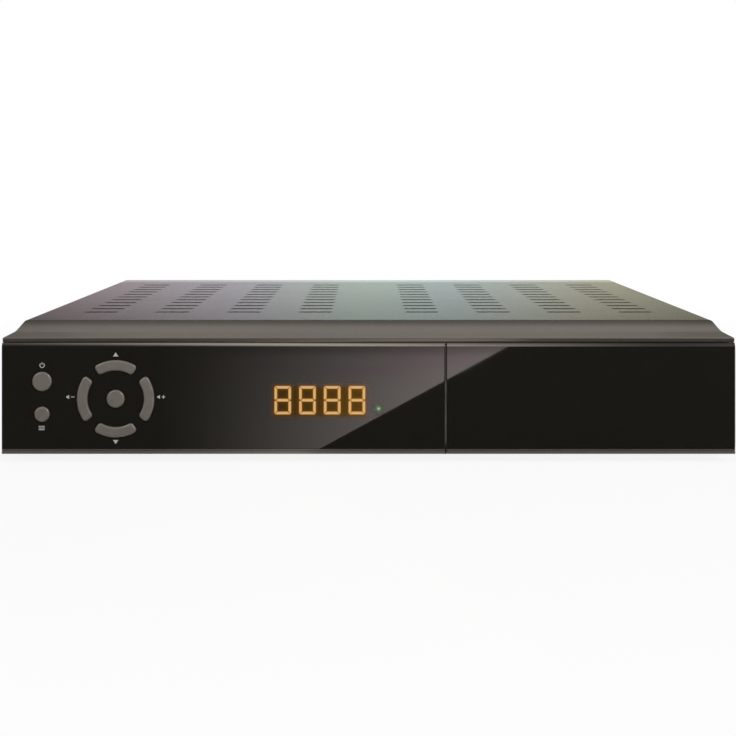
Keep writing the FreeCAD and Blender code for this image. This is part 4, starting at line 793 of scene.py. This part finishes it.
def inkSpeaker(mesh, x, z):
    unit = printLook["speaker"]
    inkBar(mesh, x - unit * 0.32, z, unit * 0.32, unit * 0.56)
    inkShape(mesh, [(x - unit * 0.16, z - unit * 0.28), (x + unit * 0.34, z - unit * 0.62),
                    (x + unit * 0.34, z + unit * 0.62), (x - unit * 0.16, z + unit * 0.28)])


def inkSign(mesh, x, z, plus):
    look = printLook
    inkBar(mesh, x, z, look["sign"], look["stroke"])
    arm = (look["sign"] - look["stroke"]) / 2
    for side in (-1, 1) if plus else ():
        inkBar(mesh, x, z + side * (look["stroke"] + arm) / 2, look["stroke"], arm)


def addFrontPrint():
    look = printLook
    mesh = bmesh.new()
    spot = {key: (value[0] * mm, value[1] * mm) for key, value in look.items() if key.endswith("At")}
    inkPower(mesh, *spot["powerAt"])
    x, z = spot["listAt"]
    for step in (-1, 0, 1):
        inkBar(mesh, x, z + step * look["listPitch"], look["list"], look["stroke"])
    inkArrow(mesh, *spot["upAt"], 1)
    inkArrow(mesh, *spot["downAt"], -1)
    for key, plus in (("minusAt", False), ("plusAt", True)):
        x, z = spot[key]
        inkSpeaker(mesh, x - look["speakerLeft"], z)
        inkSign(mesh, x + look["signRight"], z, plus)
    addPiece("frontPrint", mesh, "window_gloss", makeInk())


addFrontPrint()
print("front print")


# cross-recess heads of the case screws
screwLook = {
    "radius": 2.8 * mm, "crown": 0.9 * mm, "armHalf": 0.36 * mm, "armReach": 1.5 * mm, "depth": 0.62 * mm,
    "soft": 0.16 * mm, "rings": 17, "sides": 64, "slack": 0.2 * mm, "brim": 0.95, "dome": 2.6,
    "firstTurn": 0.5, "nextTurn": 0.77}


def screwHead(mesh, seat, outward, spin):
    # dome with a cross pressed into it, as a height over the seat
    look = screwLook
    turnTo = outward.to_track_quat("Z", "Y")
    brim = look["crown"] * look["brim"]

    def share(value, reach):
        return min(1, max(0, (reach + look["soft"] - value) / look["soft"]))
    loops = []
    for ring in range(1, look["rings"] + 1):
        radius = look["radius"] * ring / look["rings"]
        loop = []
        for index in range(look["sides"]):
            turn = tau * index / look["sides"]
            u, v = abs(radius * cos(turn + spin)), abs(radius * sin(turn + spin))
            height = look["crown"] * (1 - (radius / look["radius"]) ** look["dome"])
            for along, across in ((u, v), (v, u)):
                pressed = share(across, look["armHalf"]) * share(along, look["armReach"])
                if pressed > 0.01:
                    height = min(height, brim - look["depth"] * pressed)
            local = Vector((radius * cos(turn), radius * sin(turn), height))
            loop.append(mesh.verts.new(seat + turnTo @ local))
        loops.append(loop)
    middle = mesh.verts.new(seat + turnTo @ Vector((0, 0, brim - look["depth"])))
    for index in range(look["sides"]):
        after = (index + 1) % look["sides"]
        mesh.faces.new((middle, loops[0][index], loops[0][after]))
        for inner, outer in zip(loops, loops[1:]):
            mesh.faces.new((inner[index], outer[index], outer[after], inner[after]))
    mesh.faces.new(loops[-1][::-1])


def addScrewHeads():
    look = screwLook
    mesh = bmesh.new()
    for number, (low, high) in enumerate(looseBoxes("case_screws")):
        middle, extent = (low + high) / 2, high - low
        atRear = (extent.x < extent.y + look["slack"] and extent.z > extent.y - 1 * mm
                  and abs(extent.x - 2 * look["radius"]) < look["slack"])
        if atRear:
            outward = Vector((0, 1, 0))
            face = Vector((middle.x, high.y, middle.z))
        else:
            side = 1 if middle.x > 0 else -1
            outward = Vector((side, 0, 0))
            face = Vector((high.x if side > 0 else low.x, middle.y, middle.z))
        spin = look["firstTurn"] + number * look["nextTurn"]
        screwHead(mesh, face - outward * look["crown"], outward, spin)
    addPiece("screwHeads", mesh, "screw_black", replaced=["case_screws"], smooth=True, turnOut=False)


addScrewHeads()
print("screw heads")


# threaded aerial sockets with a white insulator and a sprung contact
aerialLook = {
    "pitch": 0.794 * mm, "depth": 0.42 * mm, "stepsPerTurn": 6, "sides": 48, "mouth": 3.55 * mm,
    "recess": 1.0 * mm, "lead": 0.35 * mm, "runOut": 0.8 * mm, "contact": 0.75 * mm,
    "insulator": {"colour": (226, 224, 214), "rough": 0.4, "grain": 900}}


def addAerialSockets():
    look = aerialLook
    metal, pale = bmesh.new(), bmesh.new()
    mouth, contact, lead = look["mouth"], look["contact"], look["lead"]
    for low, high in looseBoxes("aerial_connectors"):
        centre = (low + high) / 2
        radius = (high.x - low.x) / 2
        start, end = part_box("rear_panel")[1].y + 0.02 * mm, high.y
        face = end - look["recess"]

        def thread(turn, y, start=start, end=end):
            share = (y / look["pitch"] - turn / tau) % 1
            fade = min(1, max(0, (end - 0.9 * mm - y) / look["runOut"]), max(0, (y - start) / look["runOut"]))
            return -look["depth"] * fade * (1 - abs(2 * share - 1))
        count = round((end - start) / look["pitch"] * look["stepsPerTurn"])
        rings = [(radius, start + (end - lead - start) * step / count) for step in range(count + 1)]
        turned(metal, centre, rings, look["sides"], wave=thread)
        turned(metal, centre, [(radius, end - lead), (radius - lead, end), (mouth, end),
                               (mouth - 0.1 * mm, end - 0.1 * mm), (mouth - 0.1 * mm, face)], look["sides"])
        turned(pale, centre, [(mouth - 0.05 * mm, face - 0.2 * mm), (mouth - 0.05 * mm, face - 0.05 * mm),
                              (mouth - 0.3 * mm, face), (contact + 0.45 * mm, face),
                              (contact, face - 0.45 * mm), (contact, face - 3 * mm)], look["sides"])
        spring = [(contact + 0.02 * mm, face - 0.5 * mm), (contact * 0.55, face - 0.9 * mm),
                  (contact * 0.35, face - 2.2 * mm)]
        metal.faces.new(turned(metal, centre, spring, 24)[-1])
    for mesh in (metal, pale):
        bmesh.ops.remove_doubles(mesh, verts=mesh.verts, dist=0.001 * mm)
    addPiece("aerialThreads", metal, "connector_nickel", replaced=["aerial_connectors"], smooth=True)
    finish = plainFinish("aerialInsulator", look["insulator"])
    addPiece("aerialInsulators", pale, "connector_nickel", finish, smooth=True)


addAerialSockets()
print("aerial sockets")


# coloured rings in the mouths of the phono jacks, from left to right
phonoLook = {
    "tones": ((196, 40, 34), (226, 222, 212), (232, 190, 34), (214, 110, 26)),
    "rough": 0.35, "grain": 1200, "outer": 3.3 * mm, "inner": 1.75 * mm, "proud": 0.22 * mm,
    "sink": 0.2 * mm, "sides": 48}


def addPhonoRings():
    look = phonoLook
    outer, inner, proud = look["outer"], look["inner"], look["proud"]
    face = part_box("phono_housing")[1].y
    base = face - look["sink"]
    for number, (low, high) in enumerate(looseBoxes("phono_jacks")):
        name = "phonoRing%d" % number
        mesh = bmesh.new()
        turned(mesh, (low + high) / 2, [(outer, base), (outer, face + proud * 0.6),
                                        (outer - 0.15 * mm, face + proud), (inner + 0.3 * mm, face + proud),
                                        (inner, face + proud * 0.3), (inner, base)], look["sides"])
        finish = plainFinish(name, look | {"colour": look["tones"][number]})
        addPiece(name, mesh, "socket_black", finish, smooth=True)


addPhonoRings()
print("phono rings")


# contacts of the two multi-way sockets
scartLook = {
    "perRow": 10, "pitch": 3.81 * mm, "rowGap": 5.6 * mm, "width": 0.75 * mm, "height": 2.6 * mm,
    "cut": 0.12 * mm, "sink": 0.2 * mm, "proud": 0.08 * mm,
    "finish": {"colour": (206, 186, 128), "rough": 0.25, "metal": 1.0}}


def addScartContacts():
    look = scartLook
    mesh = bmesh.new()
    low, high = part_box("scart_sockets")
    w, h, cut = look["width"] / 2, look["height"] / 2, look["cut"]
    blade = [(-w + cut, -h), (w - cut, -h), (w, -h + cut), (w, h - cut), (w - cut, h), (-w + cut, h),
             (-w, h - cut), (-w, -h + cut)]
    for socket in (0.25, 0.75):
        centre = low.lerp(high, socket)
        for row in (-1, 1):
            for index in range(look["perRow"]):
                x = (low.x + high.x) / 2 + (index - (look["perRow"] - 1) / 2 + row / 4) * look["pitch"]
                z = centre.z + row * look["rowGap"] / 2
                prism(mesh, [(x + u, z + v) for u, v in blade], high.y - look["sink"], high.y + look["proud"])
    addPiece("scartContacts", mesh, "jack_gold", plainFinish("contactMetal", look["finish"]))


addScartContacts()
print("socket contacts")


# hex jack screws on both sides of the serial socket
jackScrewLook = {
    "spacing": 12.5 * mm, "flat": 2.4 * mm, "length": 4.6 * mm, "bore": 1.15 * mm, "boreDepth": 3 * mm,
    "sink": 0.05 * mm, "sides": 48}


def addJackScrews():
    look = jackScrewLook
    low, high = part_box("serial_socket")
    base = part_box("rear_panel")[1].y
    flat, bore, tip = look["flat"], look["bore"], base + look["length"]
    rings = [(flat, base - look["sink"]), (flat, tip - 0.35 * mm), (flat * 0.93, tip - 0.05 * mm),
             (flat * 0.9, tip), (bore * 1.25, tip), (bore, tip - 0.25 * mm), (bore, tip - look["boreDepth"])]
    mesh = bmesh.new()
    for side in (-1, 1):
        centre = Vector(((low.x + high.x) / 2 + side * look["spacing"], 0, (low.z + high.z) / 2))
        mesh.faces.new(turned(mesh, centre, rings, look["sides"], hexes=(0, 1))[-1])
    addPiece("jackScrews", mesh, "connector_nickel", smooth=True)


addJackScrews()
print("jack screws")


# on and off marks on the two faces of the rocker
rockerLook = {
    "axleX": -104.0 * mm, "axleBack": 3.0 * mm, "half": 8.0 * mm, "depth": 5.0 * mm, "tilt": 10.0,
    "mark": 1.5 * mm, "stroke": 0.42 * mm, "thick": 0.04 * mm, "steps": 32}


def addRockerMarks():
    look = rockerLook
    low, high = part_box("power_rocker")
    axle = Vector((look["axleX"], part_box("rear_panel")[1].y - look["axleBack"], (low.z + high.z) / 2))
    swing = radians(look["tilt"])
    dish = look["half"] * tan(swing)
    slope = atan2(dish, look["half"])
    mesh = bmesh.new()

    def onFace(side, along, up, lift):
        # a point on one sloping half of the rocker, turned with it about the axle
        u = side * along * cos(slope) - side * lift * sin(slope)
        v = look["depth"] - dish / 2 + along * sin(slope) + lift * cos(slope)
        x = u * cos(swing) + v * sin(swing)
        y = -u * sin(swing) + v * cos(swing)
        return Vector((axle.x + x, axle.y + y, axle.z + up))

    def mark(side, corners):
        plate(mesh, *([onFace(side, a, b, lift) for a, b in corners]
                      for lift in (look["thick"], -look["thick"])))
    middle, stroke, reach = look["half"] * 0.56, look["stroke"] / 2, look["mark"]
    left, right = middle - stroke, middle + stroke
    mark(-1, [(left, -reach), (right, -reach), (right, reach), (left, reach)])
    for step in range(look["steps"]):
        first, second = (tau * (step + side) / look["steps"] for side in (0, 1))
        mark(1, [(middle + (reach + side * stroke) * cos(turn), (reach + side * stroke) * sin(turn))
                 for side, turn in ((-1, first), (1, first), (1, second), (-1, second))])
    addPiece("rockerMarks", mesh, "rocker_black", bpy.data.materials["printedInk"], body="rocker")


addRockerMarks()
print("rocker marks")


# floor, cards, lamps, world and camera
studio = {
    "floor": tone(250, 250, 248), "floorHalf": 6.0, "floorShade": 0.985, "floorRough": 0.9,
    "floorGloss": 0.1, "whiteFade": (0.25, 0.6, 0.87, 1.0), "flagHalf": 0.7, "flagDepth": 0.75,
    "flagRise": 0.3 * mm, "cameraLeft": 0.93 * mm, "cameraBack": 522.4 * mm,
    "cameraHeight": 129.3 * mm, "lens": 55.12, "shiftX": 1.5 / 736, "shiftY": -184.4 / 736}


def addStagePlane(name, corners, material):
    data = bpy.data.meshes.new(name)
    data.from_pydata(corners, [], [tuple(range(len(corners)))])
    data.materials.append(material)
    plane = newObject(name, data)
    return plane


def makeFloor():
    look = studio
    material, surface = newMaterial("paleFloor")
    base = mixColour(noise(30, 2), shade(look["floor"], look["floorShade"]), look["floor"])
    feed(surface, {
        "Base Color": base, "Roughness": look["floorRough"], "Specular IOR Level": look["floorGloss"]})
    reach = add("VectorMath", {0: place()}, operation="LENGTH").outputs["Value"]
    far = ease(reach, *look["whiteFade"])
    rays = add("LightPath").outputs
    seen = largest(rays["Is Camera Ray"], rays["Is Glossy Ray"], rays["Is Transmission Ray"])
    showShader(mixShader(times(far, seen), surface, add("Emission", {"Color": white, "Strength": 1.0})))
    return material


def glossOnly(thing):
    for ray in ("camera", "diffuse", "transmission", "volume_scatter", "shadow"):
        setattr(thing, "visible_" + ray, False)


def addFloor():
    half = studio["floorHalf"]
    addStagePlane("floor", [(-half, -half, 0), (half, -half, 0), (half, half, 0), (-half, half, 0)],
                  makeFloor())


# the gloss front mirrors the floor before it: a black card keeps it dark, and a lit card gives
# the slanting sheen, brighter to the right up to its sharp edge
cardLook = {
    "fade": (-104 * mm, 60 * mm), "power": 1.75, "strength": 3.25, "slope": 1.8415,
    "edgeX": -21.2 * mm, "edgeZ": 6.6 * mm, "low": 1 * mm, "high": 66 * mm, "left": -95 * mm,
    "farFade": (0.30, 0.37, 1.0, 0.55), "nearGain": (0.04, 0.33, 1.5, 1.08), "cardRise": 0.6 * mm,
    "warm": tone(255, 238, 230), "rose": tone(255, 220, 238), "fern": tone(250, 242, 236)}


def addBlackCard():
    card, surface = newMaterial("blackCard")
    feed(surface, {"Base Color": black, "Specular IOR Level": 0.0})
    half, rise = studio["flagHalf"], studio["flagRise"]
    front, back = frontY - studio["flagDepth"], frontY - 1 * mm
    glossOnly(addStagePlane("blackCard", [(-half, front, rise), (half, front, rise), (half, back, rise),
                                          (-half, back, rise)], card))


def addLitCard():
    look = cardLook
    card, surface = newMaterial("litCard")
    x, y, z = axes()
    ahead = minus(frontY, y)
    across = over(x, maths("ADD", 1.0, over(ahead, studio["cameraBack"])))
    level = times(maths("POWER", remap(across, *look["fade"]), look["power"]), look["strength"],
                  ease(ahead, *look["farFade"]), remap(ahead, *look["nearGain"]))
    tinted = mixColour(remap(noise(9, 2), 0.42, 0.6), look["fern"], look["rose"])
    showShader(add("Emission", {"Color": mixColour(0.5, look["warm"], tinted), "Strength": level}))

    def onFloor(x, z):
        # the spot that the panel mirrors at x and z
        share = studio["cameraHeight"] / (studio["cameraHeight"] - z)
        return (x * share, frontY - studio["cameraBack"] * (share - 1), look["cardRise"])
    low, high, left = look["low"], look["high"], look["left"]
    edge = [(look["edgeX"] + (z - look["edgeZ"]) * look["slope"], z) for z in (low, high)]
    spots = ((left, low), edge[0], edge[1], (left, high))
    glossOnly(addStagePlane("litCard", [onFloor(*spot) for spot in spots], card))


lamps = {"overhead": {"at": (0.0, -0.15, 1.25), "to": (0, -0.05, 0), "size": (1.0, 1.5), "power": 1.5},
         "keyRight": {"at": (0.95, -0.95, 0.95), "to": (-0.05, -0.1, 0.03), "size": (0.5, 0.5), "power": 9.5},
         "fillLeft": {"at": (-1.1, -1.0, 0.7), "to": (0, -0.1, 0.03), "size": (0.9, 0.9), "power": 6.0}}


def addLamps():
    for name, look in lamps.items():
        data = bpy.data.lights.new(name, "AREA")
        data.shape = "RECTANGLE"
        data.size, data.size_y = look["size"]
        data.energy = look["power"]
        lamp = newObject(name, data)
        lamp.location = look["at"]
        aim = Vector(look["to"]) - Vector(look["at"])
        lamp.rotation_euler = aim.to_track_quat("-Z", "Y").to_euler()


# a soft dome, darker behind between the horizon and the overhead light, with a glow on the horizon
skyLook = {
    "level": (0.5, 0.95, 0.34, 0.42), "behind": (0.55, 0.9), "bandFoot": (0.1, 0.2),
    "bandHead": (0.93, 0.8), "darkBehind": 0.7, "horizon": (0.25, 0.12), "glow": 1.88, "glowWide": 0.6,
    "glowHigh": 0.1525, "glowAt": 0.03, "nearAhead": 0.05, "tintReach": 0.6,
    "tints": ((0.275, (1.1, 0.91, 0.98)), (0.41, (1.0, 0.985, 1.06)), (0.5, (0.95, 1.13, 1.02)),
              (0.563, (0.93, 1.09, 1.08)), (0.68, (1.05, 1.03, 0.79)), (0.73, (1.05, 1.03, 0.79)))}


def setWorld():
    look = skyLook
    world = bpy.data.worlds.new("studioDome")
    bpy.context.scene.world = world
    sky = openTree(world)["Background"]
    x, y, z = axes("Generated")
    level = ease(z, *look["level"])
    flat = maths("SQRT", maths("ADD", squareSum(x, y), 0.0001))
    behind = ease(over(y, flat), *look["behind"])
    band = times(ease(z, *look["bandFoot"]), ease(z, *look["bandHead"]))
    dark = minus(1.0, times(behind, band, look["darkBehind"]))
    nearHorizon = minus(1.0, times(behind, ease(z, *look["horizon"])))
    ahead = largest(y, look["nearAhead"])
    side, rise = over(x, ahead), over(z, ahead)
    reach = distance(over(minus(side, look["glowAt"]), look["glowWide"]), over(rise, look["glowHigh"]))
    cone = largest(minus(1.0, reach), 0.0)
    rays = add("LightPath").outputs
    total = maths("ADD", times(level, dark, nearHorizon), times(cone, look["glow"], rays["Is Glossy Ray"]))
    ramp = add("ValToRGB", {0: remap(side, -look["tintReach"], look["tintReach"])})
    stops = ramp.color_ramp.elements
    stops[0].color = stops[1].color = white
    for position, colour in look["tints"]:
        stops.new(position).color = colour + (1.0,)
    tinted = mixColour(behind, white, ramp.outputs["Color"])
    seen = largest(rays["Is Camera Ray"], rays["Is Transmission Ray"])
    feed(sky, {"Color": mixColour(seen, tinted, white), "Strength": mixValue(seen, total, 1.0)})


def addCamera():
    data = bpy.data.cameras.new("camera")
    data.sensor_width = 36
    data.lens = studio["lens"]
    data.shift_x, data.shift_y = studio["shiftX"], studio["shiftY"]
    camera = newObject("camera", data)
    camera.location = (-studio["cameraLeft"], frontY - studio["cameraBack"], studio["cameraHeight"])
    camera.rotation_euler = (radians(90), 0, 0)
    bpy.context.scene.camera = camera


addFloor()
addBlackCard()
addLitCard()
addLamps()
setWorld()
addCamera()
bpy.context.scene.view_settings.view_transform = "Standard"
print("studio and camera")
